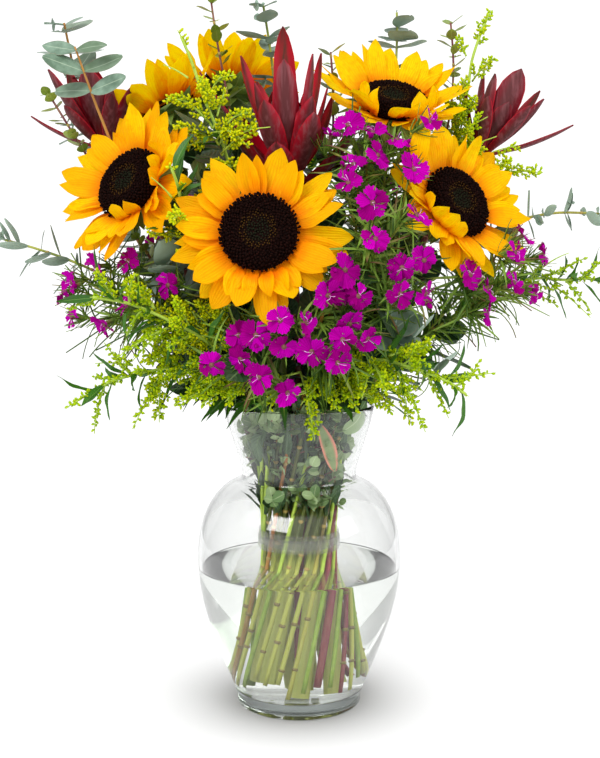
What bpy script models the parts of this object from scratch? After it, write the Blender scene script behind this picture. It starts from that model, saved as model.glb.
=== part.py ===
"""A wildflower bouquet in a clear glass vase.

Blender's units are metres and +Z is up. The origin is the centre of the vase's foot, on the surface
that it stands on, and -Y is the bouquet's front. The tables below are in millimetres, and MM turns
them into metres. Six sunflowers, three conebush heads, goldenrod, pinks, eucalyptus and a
small-leaved shrub stand in one spiral bunch. Each stem runs as a straight line from its cut foot,
through the tie, to the vase's mouth, and bends out from there to its flower.
"""

import itertools
import math
import random

import bmesh
import bpy
from mathutils import Vector
from mathutils.bvhtree import BVHTree
from mathutils.geometry import interpolate_bezier

MM = 0.001
GAP = 0.3 * MM
ROOM = 0.35 * MM
BLADE = 0.8 * MM
SHARP_ANGLE = math.radians(40)

# The vase: a footed belly, a pinched neck and a flared collar, turned in clear glass. Its side is four
# Bezier curves of (radius, height): the belly, the shoulder, the neck's groove and the collar.
VASE_HEIGHT = 216 * MM
VASE_WALL = 2.6 * MM
VASE_FLOOR = 11 * MM
VASE_SIDES = 18
FOOT_RADIUS = 44.6 * MM
RIM_RADIUS = 53.5 * MM
VASE_CURVES = [
    [(45, 7), (59, 44), (72.7, 70), (72.7, 107)],
    [(72.7, 107), (72.7, 134), (62, 157), (41.6, 163.2)],
    [(41.6, 163.2), (40.6, 164.4), (40.4, 166.5), (40.9, 169)],
    [(40.9, 169), (42.8, 181), (51.5, 200), (53.5, 216)],
]
CURVE_STEPS = 12
OUTSIDE_HEIGHTS = (7, 34, 68, 104, 132, 151, 162.5, 168, 190, 214)
WATER_HEIGHTS = (14, 40, 72, 99.5)
DRY_HEIGHTS = (134, 154, 168, 190)

# The bunch: every stem is a straight line that slants about the axis, so the bunch is narrowest at the
# tie. The thick stems stand on one ring, with thin ones inside it and in even slots outside it.
TIE_Z = 120 * MM
TIE_HEIGHT = 14 * MM
TIE_RADIUS = 28.4 * MM
TIE_WALL = 1 * MM
TIE_SIDES = 20
TWIST_LENGTH = 101 * MM
LEAVE_Z = 206 * MM
THICK_RING = 15 * MM
INNER_RING = 6.3 * MM
OUTER_REACH = 27.6 * MM
OUTER_SLOTS = 26
OUTER_START = 28
SUNFLOWER_STEM = 5.4 * MM
SUNFLOWER_STEM_SIDES = 6
THIN_STEM = 1.7 * MM
THIN_STEM_SIDES = 4
HOLE_SHARE = 0.62
GOLDEN_ANGLE = 2.4

# Colours, roughness: what each kind of piece is painted in.
MATERIALS = {
    "glass": ((0.86, 0.92, 0.90), 0.04),
    "water": ((0.80, 0.88, 0.86), 0.03),
    "clear_tie": ((0.82, 0.84, 0.80), 0.30),
    "sunflower_green": ((0.24, 0.36, 0.07), 0.60),
    "ray_yellow": ((0.95, 0.48, 0.01), 0.55),
    "disc_brown": ((0.030, 0.012, 0.008), 0.85),
    "bract_red": ((0.20, 0.014, 0.030), 0.45),
    "goldenrod": ((0.52, 0.56, 0.03), 0.70),
    "pink_magenta": ((0.44, 0.003, 0.33), 0.60),
    "eucalyptus": ((0.19, 0.29, 0.21), 0.55),
    "shrub_green": ((0.15, 0.25, 0.06), 0.50),
}

# Sunflowers: head centre, facing (turn from the front to the right, rise), slot on the thick ring,
# foot height, the two layers' lean towards the face, and the petals' length.
SUNFLOWERS = {
    "sunflower_front": ((-24, -112, 334), (-4, 16), 198, 22, (4, 20), 36),
    "sunflower_left": ((-108, -62, 366), (-38, 25), 138, 16, (12, 30), 38),
    "sunflower_right": ((101, -60, 354), (35, 25), 258, 24, (12, 30), 38),
    "sunflower_top_right": ((64, -10, 424), (12, 55), 318, 14, (26, 46), 40),
    "sunflower_back_left": ((-96, 30, 424), (-104, 58), 78, 20, (22, 42), 40),
    "sunflower_back": ((-52, 60, 440), (178, 62), 18, 15, (24, 44), 40),
}
DISC_RADIUS = 24.6 * MM
DISC_PROFILE = [(0.65, -0.2), (0.91, 2.4), (1, 4.6), (0.8, 7.8), (0.52, 8.2), (0.25, 6.6), (0, 6)]
DISC_SIDES = 12
DISC_RELIEF = 0.4 * MM
RAYS_PER_LAYER = 9
RAY_ROOT = 21 * MM
RAY_LEVELS = (-2.2 * MM, -1.1 * MM)
RAY_WASHER = (14.6 * MM, 16 * MM, RAY_ROOT)
BACK_RAY_WIDTHS = [(0.5, 14 * MM), (1, 0)]
FRONT_RAY_WIDTHS = [(0.36, 12.5 * MM), (0.72, 12 * MM), (1, 0)]
FRONT_RAY_SHORTER = 4
BRACT_TIP = (37 * MM, -9 * MM)
BRACT_NOTCH = (22.5 * MM, -5.5 * MM)
RECEPTACLE = [(14, -10), (21.5, -3.6), (13.2, -2.9), (13.2, -0.5)]

# Conebush heads: slot, foot height, points up the stem, axis, and the outer and the inner bracts'
# tilt from the axis, length and width, anticlockwise from the right.
CONEBUSH_STEM = 2.6 * MM
CONEBUSH_STEM_SIDES = 5
CONE_PROFILE = [(4.2, -4), (6.2, 6), (4.5, 20), (0, 27)]
BRACT_ROOT = 5.2 * MM
BRACT_BASE = 5 * MM
BRACT_LEVELS = (-1.5 * MM, 1.5 * MM)
BRACT_WASHER = (2.4 * MM, 3.4 * MM, BRACT_ROOT)
BRACT_BEND = 0.3
CONEBUSHES = {
    "conebush_centre": (
        "centre", 26, [(-2, -12, 300), (-7, -33, 378)], (-0.04, -0.10, 1),
        [(30, 86, 12), (30, 72, 14), (30, 72, 14), (38, 86, 11), (28, 50, 15), (32, 58, 15)],
        [(20, 80, 12), (8, 95, 15), (22, 82, 14), (20, 60, 13), (8, 72, 17), (14, 76, 12)],
    ),
    "conebush_left": (
        3, 30, [(-75, 8, 300), (-136, 6, 400)], (-0.18, -0.12, 1),
        [(48, 42, 14), (36, 44, 14), (42, 46, 12), (58, 52, 9), (46, 44, 12), (38, 42, 14)],
        [(14, 54, 18), (14, 54, 18), (18, 56, 18), (26, 60, 18), (13, 52, 22), (26, 44, 16)],
    ),
    "conebush_right": (
        22, 24, [(70, 10, 300), (130, 5, 396)], (0.42, -0.08, 1),
        [(50, 62, 12), (40, 48, 12), (34, 50, 12), (36, 46, 12), (38, 42, 12), (34, 46, 12)],
        [(22, 56, 14), (16, 54, 13), (24, 52, 13), (18, 50, 14), (9, 58, 21), (28, 50, 14)],
    ),
}

# Pinks: slot, foot height, points up the stem, and each flower's place.
PINKS = {
    "pinks_left": (
        7, 18, [(-70, -26, 262), (-118, -56, 292)],
        [(-133, -64, 314), (-109, -82, 318), (-83, -92, 302), (-111, -84, 290), (-127, -72, 276),
         (-151, -54, 303), (-160, -40, 296), (-152, -52, 280)],
    ),
    "pinks_high": (
        18, 24, [(52, -40, 300), (46, -66, 380)],
        [(21, -68, 398), (31, -74, 404), (47, -80, 399), (62, -84, 394), (34, -92, 378),
         (48, -90, 382), (82, -88, 402), (71, -98, 374), (30, -102, 364)],
    ),
    "pinks_middle": (
        15, 16, [(34, -58, 270), (42, -90, 318)],
        [(44, -122, 352), (46, -126, 331), (28, -128, 312), (72, -116, 345), (76, -114, 318),
         (62, -122, 313), (60, -122, 298), (78, -112, 297), (36, -126, 297)],
    ),
    "pinks_right": (
        19, 26, [(78, -30, 262), (134, -44, 296)],
        [(110, -84, 317), (134, -76, 322), (118, -82, 299), (139, -74, 304), (164, -44, 322),
         (156, -54, 295), (147, -58, 334), (124, -66, 284)],
    ),
    "pinks_low_left": (
        13, 20, [(-18, -52, 240), (-24, -84, 256)],
        [(-26, -128, 273), (-11, -130, 282), (-9, -130, 266), (-24, -126, 247), (-33, -122, 258),
         (-43, -118, 255), (-7, -116, 237), (-38, -118, 270)],
    ),
    "pinks_low_right": (
        14, 14, [(8, -56, 240), (12, -84, 262)],
        [(5, -132, 281), (8, -130, 263), (16, -130, 271), (27, -128, 272), (13, -126, 257),
         (36, -124, 280), (22, -128, 285), (20, -124, 300)],
    ),
    "pinks_back_left": (
        2, 22, [(-52, 58, 280), (-84, 92, 340)],
        [(-104, 106, 352), (-84, 116, 364), (-66, 120, 344), (-92, 118, 330), (-114, 96, 330)],
    ),
    "pinks_back_right": (
        25, 17, [(48, 56, 280), (76, 90, 350)],
        [(94, 104, 366), (74, 114, 378), (56, 116, 354), (82, 118, 336), (102, 100, 340)],
    ),
}
PINK_RADIUS = 9.8 * MM
STALK = 0.75 * MM
CALYX = 1.5 * MM
NEEDLES = 5
NEEDLE_RADIUS = 0.85 * MM

# Goldenrod: slot, foot height, points up the stem to its tip, and where the plumes lean.
GOLDENRODS = {
    "goldenrod_high_left": (9, 19, [(-50, -24, 300), (-58, -58, 392), (-66, -66, 436)], (0, -0.5, 0.7)),
    "goldenrod_high_right": (23, 23, [(78, 26, 330), (112, 12, 410), (122, 10, 462)], (0.4, -0.3, 0.6)),
    "goldenrod_mid_left": (10, 15, [(-46, -42, 280), (-70, -82, 330), (-72, -92, 352)], (-0.2, -0.7, 0.3)),
    "goldenrod_low_left": (12, 21, [(-38, -52, 240), (-58, -96, 268), (-94, -110, 288)], (-0.6, -0.4, 0.3)),
    "goldenrod_drooping": (11, 27, [(-44, -40, 232), (-66, -74, 250), (-104, -88, 246)], (-0.6, -0.4, -0.2)),
    "goldenrod_low_right": (16, 18, [(24, -52, 236), (44, -88, 256), (74, -102, 250)], (0.4, -0.6, -0.1)),
    "goldenrod_right": (21, 20, [(84, -4, 262), (150, -6, 302), (182, -16, 304)], (0.7, -0.2, 0.4)),
    "goldenrod_back": (0, 25, [(4, 56, 290), (6, 92, 360), (8, 104, 402)], (0.0, 0.5, 0.6)),
}

PLUMES = 5
PLUME_RADIUS = 3.8 * MM
PLUME_ROOT = 0.8 * MM
TOP_PLUME_ROOT = 3 * MM
PLUME_STEPS = 6
LANCE_LENGTH = 40 * MM
LANCE_BEND = -1.1

# Eucalyptus: slot, foot height, points up the stem to its tip, leaf length, leaf breadth and pairs.
# A leaf narrower than NARROW_LEAF comes to its point straight from its middle.
EUCALYPTUS = {
    "eucalyptus_high_left": (4, 16, [(-112, 40, 320), (-152, 45, 405), (-166, 20, 486)], 23, 11, 4),
    "eucalyptus_top": ("inner 60", 22, [(-14, 6, 330), (-16, 12, 430), (-25, 8, 495)], 17, 10, 4),
    "eucalyptus_top_right": ("inner 0", 18, [(44, 24, 330), (68, 30, 440), (70, 34, 496)], 23, 24, 4),
    "eucalyptus_left": (6, 24, [(-70, -6, 262), (-142, -24, 312), (-202, -24, 332)], 19, 9, 4),
    "eucalyptus_right": (20, 15, [(72, -16, 300), (150, -28, 346), (206, -22, 349)], 18, 9, 4),
    "eucalyptus_low_right": (17, 28, [(34, -46, 240), (62, -84, 276), (90, -92, 252)], 26, 20, 3),
    "eucalyptus_mid_left": (8, 20, [(-48, -38, 250), (-74, -66, 300), (-84, -74, 318)], 26, 18, 3),
    "eucalyptus_back": (1, 26, [(-24, 56, 280), (-16, 104, 350), (-34, 138, 396)], 24, 16, 4),
}
LEAF_ROOT = 1.3 * MM
LEAF_BEND = -0.2
NARROW_LEAF = 12

# The small-leaved shrub: slot, foot height and points up the stem to its tip.
SHRUBS = {
    "shrub_top_left": ("inner 120", 21, [(-40, 20, 330), (-64, 20, 440), (-62, 20, 500)]),
    "shrub_top_right": (24, 17, [(86, 34, 330), (110, 30, 430), (108, 30, 488)]),
    "shrub_left": (5, 23, [(-92, -2, 300), (-144, -10, 386), (-172, -10, 432)]),
    "shrub_top_centre": ("inner 300", 19, [(14, 6, 320), (24, 6, 410), (22, 10, 464)]),
}
SHRUB_LEAVES = 10


def at(point):
    """A table's point in Blender's metres."""
    return Vector(point) * MM


def facing(turn, rise):
    """The unit vector that looks to the front, turned to the right and raised by those degrees."""
    turn, rise = math.radians(turn), math.radians(rise)
    return Vector((math.sin(turn) * math.cos(rise), -math.cos(turn) * math.cos(rise), math.sin(rise)))


def square_to(axis):
    """A unit vector to the right of the axis, square to it, and the one a quarter turn on from there."""
    guide = Vector((0, 0, 1)) if abs(axis.normalized().z) < 0.9 else Vector((0, 1, 0))
    right = guide.cross(axis).normalized()
    return right, axis.cross(right).normalized()


def outward_of(axis, angle):
    """The unit vector that leaves the axis squarely at that angle from its right."""
    right, around = square_to(axis)
    return right * math.cos(angle) + around * math.sin(angle)


def smooth(points, steps):
    """A curve through the points, with that many steps between each two (Catmull-Rom)."""
    padded = [points[0] * 2 - points[1], *points, points[-1] * 2 - points[-2]]
    curve = []
    for before, start, end, after in zip(padded, padded[1:], padded[2:], padded[3:]):
        leave, arrive = (end - before) / 6, (after - start) / 6
        curve += interpolate_bezier(start, start + leave, end - arrive, end, steps + 1)[:-1]
    return [Vector(point) for point in curve] + [points[-1]]


def skin(rings, split=False, looped=False):
    """A closed skin over rings that run anticlockwise about the way to the next; one point is a tip.

    split cuts each four-sided face in two, and the two broad faces of a blade alike, so that they
    stay parallel where it twists. looped joins the last ring to the first, as round a washer.
    """
    points, faces, starts = [], [], []
    for ring in rings:
        starts.append(len(points))
        points.extend(ring)
    pairs = list(zip(range(len(rings)), range(1, len(rings))))
    if looped:
        pairs.append((len(rings) - 1, 0))
    for near, far in pairs:
        faces += joined(starts[near], len(rings[near]), starts[far], len(rings[far]), split)
    if not looped and len(rings[0]) > 1:
        faces.append(tuple(reversed(range(len(rings[0])))))
    if not looped and len(rings[-1]) > 1:
        faces.append(tuple(range(starts[-1], len(points))))
    return points, faces


def joined(a, near, b, far, split):
    """The faces between a ring of near points numbered from a and the next, of far points from b.

    Where one ring has some times as many points as the other, each point of that one fans out.
    """
    faces = []
    most = max(near, far)
    for i in range(most):
        j, k = i * near // most, (i + 1) % most * near // most
        m, n = i * far // most, (i + 1) % most * far // most
        if near == far and not split:
            faces.append((a + j, a + k, b + k, b + j))
        elif near == far and i >= near // 2:
            faces += [(a + j, a + k, b + m), (a + k, b + n, b + m)]
        else:
            if near > 1 and j != k:
                faces.append((a + j, a + k, b + n))
            if far > 1 and m != n:
                faces.append((a + j, b + n, b + m))
    return faces


def turned(profile, sides, centre=Vector(), axis=Vector((0, 0, 1)), looped=False, relief=0.0):
    """A solid turned about the axis from (radius, height) points, up the outside and down the inside.

    relief raises every other point of each ring above the face, as the florets of a disc do.
    """
    rings = []
    for radius, height in profile:
        ring = []
        for side in range(1 if radius == 0 else sides):
            lift = relief * (-1) ** (side + len(rings)) * (radius > 0 and height > 0)
            outward = outward_of(axis, math.tau * side / sides)
            ring.append(centre + outward * radius + axis * (height + lift))
        rings.append(ring)
    return skin(rings, relief > 0, looped)


def tube_rings(path, radii, sides, grow=0.0):
    """The rings of a tube along the path, with one radius for each point, and its last side vector."""
    side = square_to((path[1] - path[0]).normalized())[0]
    rings = []
    for index, (point, radius) in enumerate(zip(path, radii)):
        ahead = path[min(index + 1, len(path) - 1)] - path[max(index - 1, 0)]
        ahead.normalize()
        side = (side - ahead * side.dot(ahead)).normalized()
        rings.append(ring_about(point, ahead, side, radius + grow, sides))
    return rings, side


def ring_about(point, ahead, side, radius, count, start=0.0):
    """Points evenly round ahead, anticlockwise from the side vector turned by that many steps."""
    other = ahead.cross(side)
    ring = []
    for number in range(count):
        angle = math.tau * (number + start) / count
        ring.append(point + (side * math.cos(angle) + other * math.sin(angle)) * radius)
    return ring


def tube(path, radii, sides, grow=0.0):
    """A closed tube along the path."""
    return skin(tube_rings(path, radii, sides, grow)[0])


def sections(root, along, up, length, widths, bend, twist):
    """(middle, way ahead, normal, across, half width) at each station of a blade.

    It bends towards its upper face by the angle bend, and rolls by the angle twist. widths lists
    (share of the length, width) from root to tip, and a width of 0 is a point.
    """
    along = along.normalized()
    up = (up - along * up.dot(along)).normalized()
    found = []
    for share, width in widths:
        turn = bend * share
        curved = abs(bend) > 1e-3
        reach = length * math.sin(turn) / bend if curved else length * share
        rise = length * (1 - math.cos(turn)) / bend if curved else 0.0
        ahead = along * math.cos(turn) + up * math.sin(turn)
        flat = up * math.cos(turn) - along * math.sin(turn)
        level = flat.cross(ahead)
        roll = twist * share
        across = level * math.cos(roll) + flat * math.sin(roll)
        normal = flat * math.cos(roll) - level * math.sin(roll)
        found.append((root + along * reach + up * rise, ahead, normal, across, width / 2))
    return found


def blade(root, along, up, length, widths, bend=0.0, twist=0.0, grow=0.0):
    """A thin leaf or petal as a closed solid."""
    rings = []
    for middle, ahead, normal, across, half in sections(root, along, up, length, widths, bend, twist):
        if half == 0:
            rings.append([middle + ahead * grow])
            continue
        side, thick = across * (half + grow), normal * (BLADE / 2 + grow)
        corners = [(side, thick), (-side, thick), (-side, -thick), (side, -thick)]
        rings.append([middle + sideways + up_or_down for sideways, up_or_down in corners])
    return skin(rings, split=twist != 0)


def rosette(centre, axis, reaches, levels, layers):
    """Two staggered layers of petals or bracts round a common washer, as one closed solid.

    reaches are the washer's inner radius, where the layers part, and where the petals begin.
    levels are the layers' heights, the lower first, and layers their petals' sections in turn, or
    None where a petal is missing.
    """
    inner, parting, edge = reaches
    count = len(layers[0])
    thick = axis * BLADE / 2
    points, faces, hubs = [], [], []

    def both(upper, lower):
        points.extend((upper, lower))
        return len(points) - 2

    def sheet(corners):
        """The faces above and below the corners, which run anticlockwise seen from above."""
        first, *others = corners
        for a, b in zip(others, others[1:]):
            faces.extend(((first, a, b), (b + 1, a + 1, first + 1)))

    def wall(start, end):
        faces.extend(((end, start, start + 1), (end, start + 1, end + 1)))

    for stagger, level, petals in zip((0, 0.5), levels, layers):
        upper_reach, lower_reach = (parting, inner) if stagger == 0 else (inner, parting)
        hub, rim = [], []
        for number in range(count):
            outward = outward_of(axis, math.tau * (number + stagger - 0.5) / count)
            middle = centre + axis * level
            hub.append(both(middle + outward * upper_reach + thick, middle + outward * lower_reach - thick))
            rim.append(both(middle + outward * edge + thick, middle + outward * edge - thick))
        for number, petal in enumerate(petals):
            following = (number + 1) % count
            near, far = rim[number], rim[following]
            sheet((hub[number], near, far, hub[following]))
            if petal is None:
                wall(near, far)
                continue
            for middle, _, normal, across, half in petal[1:-1]:
                left, right, lift = middle - across * half, middle + across * half, normal * BLADE / 2
                next_near, next_far = both(left + lift, left - lift), both(right + lift, right - lift)
                sheet((near, next_near, next_far, far))
                wall(near, next_near)
                wall(next_far, far)
                near, far = next_near, next_far
            tip = len(points)
            points.append(petal[-1][0])
            faces.extend(((near, tip, far), (far + 1, tip, near + 1)))
            faces.extend(((tip, near, near + 1), (far, tip, far + 1)))
        hubs.append(hub)
    low, high = hubs
    for here in range(count):
        there, beyond = (here + 1) % count, (here + 2) % count
        faces.append((high[here], high[there], low[there] + 1))
        faces.append((high[there], low[beyond] + 1, low[there] + 1))
        faces.append((low[there], low[beyond], high[there] + 1))
        faces.append((low[there], high[there] + 1, high[here] + 1))
    return points, faces


def plume(path, radius, root, grow=0.0):
    """A raceme of small florets: a tapered three-sided tube whose rings swell and pinch like beads."""
    rings = []
    side = square_to((path[1] - path[0]).normalized())[0]
    for index, point in enumerate(path[:-1]):
        ahead = (path[index + 1] - path[max(index - 1, 0)]).normalized()
        side = (side - ahead * side.dot(ahead)).normalized()
        share = index / (len(path) - 1)
        swell = radius * (1.0 if index % 2 else 0.45) * (1.1 - 0.6 * share) if index else root
        rings.append(ring_about(point, ahead, side, swell + grow, 3, 0.5 * (index % 2)))
    rings.append([path[-1]])
    return skin(rings, split=True)


def pink_flower(root, centre, axis, radius, turn, grow=0.0):
    """A flower on its stalk: a funnel with five petals, each with two outer corners and a notch."""
    side = outward_of(axis, turn)
    rim = []
    for petal in range(5):
        for offset, reach, lift in ((-3, 1.0, 0.04), (47, 1.0, 0.16), (58, 0.45, 0.0)):
            outward = outward_of(axis, math.radians(72 * petal + offset) + turn)
            rim.append(centre + outward * (radius * reach + grow) + axis * radius * lift)
    face = centre - axis * (0.08 * radius - grow)
    calyx = centre - axis * 0.45 * radius
    stalk = [] if root is None else [ring_about(root, axis, side, STALK + grow, 3, 0.5)]
    return skin([*stalk, ring_about(calyx, axis, side, CALYX + grow, 3, 0.5), rim, [face]])


def reach_of(points):
    """The low and the high corner of the points' box."""
    return [[pick(point[axis] for point in points) for axis in range(3)] for pick in (min, max)]


class Bouquet:
    """The pieces of each node so far, with a tree of each piece for the clearance tests."""

    def __init__(self):
        self.pieces = {}
        self.trees = {}
        self.materials = {}
        self.stems = {}

    def node(self, name, material):
        self.pieces[name] = []
        self.trees[name] = []
        self.materials[name] = material

    def add(self, name, piece):
        self.pieces[name].append(piece)
        self.shield(name, piece)

    def shield(self, name, piece):
        """Keeps the piece's space clear without making it part of a node."""
        low, high = reach_of(piece[0])
        self.trees[name].append((low, high, BVHTree.FromPolygons(*piece)))

    def blocked(self, name, piece):
        """Whether the piece would meet another node."""
        tree = BVHTree.FromPolygons(*piece)
        low, high = reach_of(piece[0])
        for other, trees in self.trees.items():
            if other == name:
                continue
            for other_low, other_high, other_tree in trees:
                apart = any(low[i] > other_high[i] or high[i] < other_low[i] for i in range(3))
                if not apart and tree.overlap(other_tree):
                    return True
        return False

    def first_clear(self, name, make, variants):
        """The first of the variants whose piece, grown by ROOM, is clear of the other nodes, or None."""
        for variant in variants:
            if not self.blocked(name, make(*variant, grow=ROOM)):
                return variant
        return None

    def place(self, name, make, variants):
        """Adds the first clear piece, and returns the variant that it is made from."""
        variant = self.first_clear(name, make, variants)
        if variant:
            self.add(name, make(*variant))
        return variant


def slot_place(slot, radius):
    """(radius, angle) of a slot in the bunch: on the outer ring, the inner ring, or in the centre."""
    if slot == "centre":
        return 0.0, 0.0
    if isinstance(slot, str):
        return INNER_RING, math.radians(float(slot.split()[1]))
    return OUTER_REACH - radius, math.radians(OUTER_START + 360 / OUTER_SLOTS * slot)


def bunch_point(radius, angle, z):
    """Where a stem of the bunch passes height z: a straight line on a hyperboloid about the axis."""
    twist = (z - TIE_Z) / TWIST_LENGTH
    across = Vector((math.cos(angle), math.sin(angle), 0))
    along = Vector((-math.sin(angle), math.cos(angle), 0))
    return (across + along * twist) * radius + Vector((0, 0, z))


def stem_path(radius, angle, foot, upper, sway=Vector(), peak=0.5):
    """The stem's points: straight from foot to the mouth, then curved through the upper points."""
    leave = bunch_point(radius, angle, LEAVE_Z)
    below = bunch_point(radius, angle, LEAVE_Z - 30 * MM)
    curve = smooth([below, leave, *upper], 2)[2:]
    swayed = []
    for index, point in enumerate(curve):
        share = index / (len(curve) - 1)
        warped = 0.5 * share / peak if share < peak else 1 - 0.5 * (1 - share) / (1 - peak)
        swayed.append(point + sway * math.sin(math.pi * warped) ** 2)
    return [bunch_point(radius, angle, foot), *swayed]


def sways():
    """(bow, where it peaks, shift of the tip) that a thin stem tries in turn, until it is clear."""
    yield Vector(), 0.5, Vector()
    for reach, tip_reach in ((6, 3), (12, 6), (18, 9), (26, 12), (36, 16), (46, 20)):
        for turn in range(0, 360, 45):
            angle = math.radians(turn)
            aside = at((math.cos(angle), math.sin(angle), 0))
            for peak in (0.5, 0.35, 0.68):
                yield aside * reach, peak, Vector()
            yield aside * reach, 0.5, aside * tip_reach
            yield aside * reach, 0.68, aside * tip_reach


def thin_stem(bouquet, name, slot, foot, upper, radius=THIN_STEM, tip=0.75, sides=THIN_STEM_SIDES):
    """Places a stem that narrows to the share tip, by the first clear sway, and returns its path."""
    ring, angle = slot_place(slot, radius)
    upper = [at(point) for point in upper]
    variants = []
    for sway, peak, shift in sways():
        path = stem_path(ring, angle, foot * MM, [*upper[:-1], upper[-1] + shift], sway, peak)
        steps = len(path) - 2
        radii = [radius, *(radius * (1 - (1 - tip) * step / steps) for step in range(steps + 1))]
        variants.append((path, radii, sides))
    placed = bouquet.place(name, tube, variants)
    if placed is None:
        raise ValueError(f"{name}: no clear way for its stem")
    path = placed[0]
    bouquet.stems[name] = (path[0], path[1], radius, sides)
    return path


def vase_side(wall=0.0):
    """The vase's side from foot to rim as close-set (radius, height) points, moved in by wall."""
    side = []
    for curve in VASE_CURVES:
        side += interpolate_bezier(*[at((*point, 0)) for point in curve], CURVE_STEPS)
    moved = []
    for before, here, after in zip([side[0], *side], side, [*side[1:], side[-1]]):
        along = (after - before).normalized()
        moved.append((here.x - along.y * wall, here.y + along.x * wall))
    return moved


def profile_at(side, heights):
    """(radius, height) at each of the heights, in millimetres, along the side."""
    profile = []
    for height in heights:
        above = next(number for number, point in enumerate(side) if point[1] >= height * MM)
        (low_radius, low), (high_radius, high) = side[max(above - 1, 0)], side[above]
        share = (height * MM - low) / (high - low) if high > low else 0.0
        profile.append((low_radius + (high_radius - low_radius) * share, height * MM))
    return profile


def make_vase(bouquet):
    outside = profile_at(vase_side(), OUTSIDE_HEIGHTS)
    inside = profile_at(vase_side(VASE_WALL), (*WATER_HEIGHTS, *DRY_HEIGHTS))
    floor = [(inside[0][0] - 4 * MM, VASE_FLOOR)]
    foot = [(FOOT_RADIUS - 1 * MM, 0), (FOOT_RADIUS, 1.2 * MM)]
    rim = [(RIM_RADIUS - 0.8 * MM, VASE_HEIGHT), (RIM_RADIUS - 2.2 * MM, VASE_HEIGHT)]
    bouquet.node("vase", "glass")
    bouquet.add("vase", turned(foot + outside + rim + inside[::-1] + floor, VASE_SIDES))


def make_water(bouquet):
    """The water, a hair inside the glass, with a plain hole for each stem that stands in it."""
    bouquet.node("water", "water")
    side = profile_at(vase_side(VASE_WALL + GAP), WATER_HEIGHTS)
    floor = [(side[0][0] - 4.2 * MM, VASE_FLOOR + GAP)]
    bouquet.add("water", turned(floor + side, VASE_SIDES))
    for foot, mouth, radius, sides in bouquet.stems.values():
        ahead = (mouth - foot).normalized()
        path = [foot - ahead * GAP, foot + (mouth - foot) * HOLE_SHARE]
        bouquet.add("water", tube(path, [radius + GAP / math.cos(math.pi / sides)] * 2, sides))


def make_tie(bouquet):
    low, high = TIE_Z - TIE_HEIGHT / 2, TIE_Z + TIE_HEIGHT / 2
    outer = TIE_RADIUS + TIE_WALL
    profile = [(TIE_RADIUS, low), (outer, low), (outer, high), (TIE_RADIUS, high)]
    bouquet.node("tie", "clear_tie")
    bouquet.add("tie", turned(profile, TIE_SIDES, looped=True))


def sunflower_green(bouquet, name, centre, axis, slot, foot):
    """The stem, the receptacle that the flower sits on, and the ring of pointed bracts behind it."""
    upper = [centre - axis * 46 * MM, centre - axis * 14 * MM]
    path = stem_path(THICK_RING, math.radians(slot), foot * MM, upper)
    count = len(path)
    radii = [SUNFLOWER_STEM * (1 - 0.2 * index / count) for index in range(count)]
    rings, side = tube_rings(path, radii, SUNFLOWER_STEM_SIDES)
    side = (side - axis * side.dot(axis)).normalized()
    neck, *boss = [
        ring_about(centre + axis * height * MM, axis, side, radius * MM, 2 * SUNFLOWER_STEM_SIDES, -1)
        for radius, height in RECEPTACLE
    ]
    bracts = []
    for number, point in enumerate(ring_about(centre, axis, side, 1, 4 * SUNFLOWER_STEM_SIDES, -1)):
        radius, height = BRACT_TIP if number % 2 else BRACT_NOTCH
        bracts.append(centre + (point - centre) * radius + axis * height)
    bouquet.add(name, skin([*rings, neck, bracts, *boss]))
    bouquet.stems[name] = (path[0], path[1], SUNFLOWER_STEM, SUNFLOWER_STEM_SIDES)


def chosen(bouquet, name, petals):
    """For each petal, the sections of the first of its variants that is clear of other nodes."""
    found = []
    for variants in petals:
        clear = bouquet.first_clear(name, blade, variants)
        found.append(sections(*clear) if clear else None)
    return found


def sunflower_disc(bouquet, name, centre, axis):
    """The domed disc of florets, dimpled in the middle, with its relief raised by a formula."""
    dome = [(share * DISC_RADIUS, height * MM) for share, height in DISC_PROFILE]
    bouquet.add(name, turned(dome, DISC_SIDES, centre, axis, relief=DISC_RELIEF))


def sunflower_rays(bouquet, name, centre, axis, leans, length):
    """Two staggered layers of ray petals, each leaning towards the face by its own angle."""
    draw = random.Random(name)
    base = 2 * RAY_ROOT * math.sin(math.pi / RAYS_PER_LAYER)
    edge = RAY_ROOT * math.cos(math.pi / RAYS_PER_LAYER)
    lengths = (length, length - FRONT_RAY_SHORTER)
    changes = ((0, 6, -6, -12, -20), (0, 6, -6, 12, 20))
    layers = []
    for layer, widths in enumerate((BACK_RAY_WIDTHS, FRONT_RAY_WIDTHS)):
        petals = []
        for number in range(RAYS_PER_LAYER):
            place = number + layer / 2 + draw.uniform(-0.1, 0.1)
            outward = outward_of(axis, math.tau * place / RAYS_PER_LAYER)
            root = centre + axis * RAY_LEVELS[layer] + outward * edge
            reach = (lengths[layer] + draw.uniform(-3, 3)) * MM
            bend, twist = draw.uniform(-0.1, 0.35), draw.uniform(-0.5, 0.5)
            variants = []
            for scale, change in itertools.product((1.0, 0.88, 0.74, 0.6, 0.45), changes[layer]):
                tilt = math.radians(leans[layer] + change) - bend / 2
                along = outward * math.cos(tilt) + axis * math.sin(tilt)
                variants.append((root, along, axis, reach * scale, [(0, base), *widths], bend, twist))
            petals.append(variants)
        layers.append(chosen(bouquet, name, petals))
    bouquet.add(name, rosette(centre, axis, RAY_WASHER, RAY_LEVELS, layers))


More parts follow.
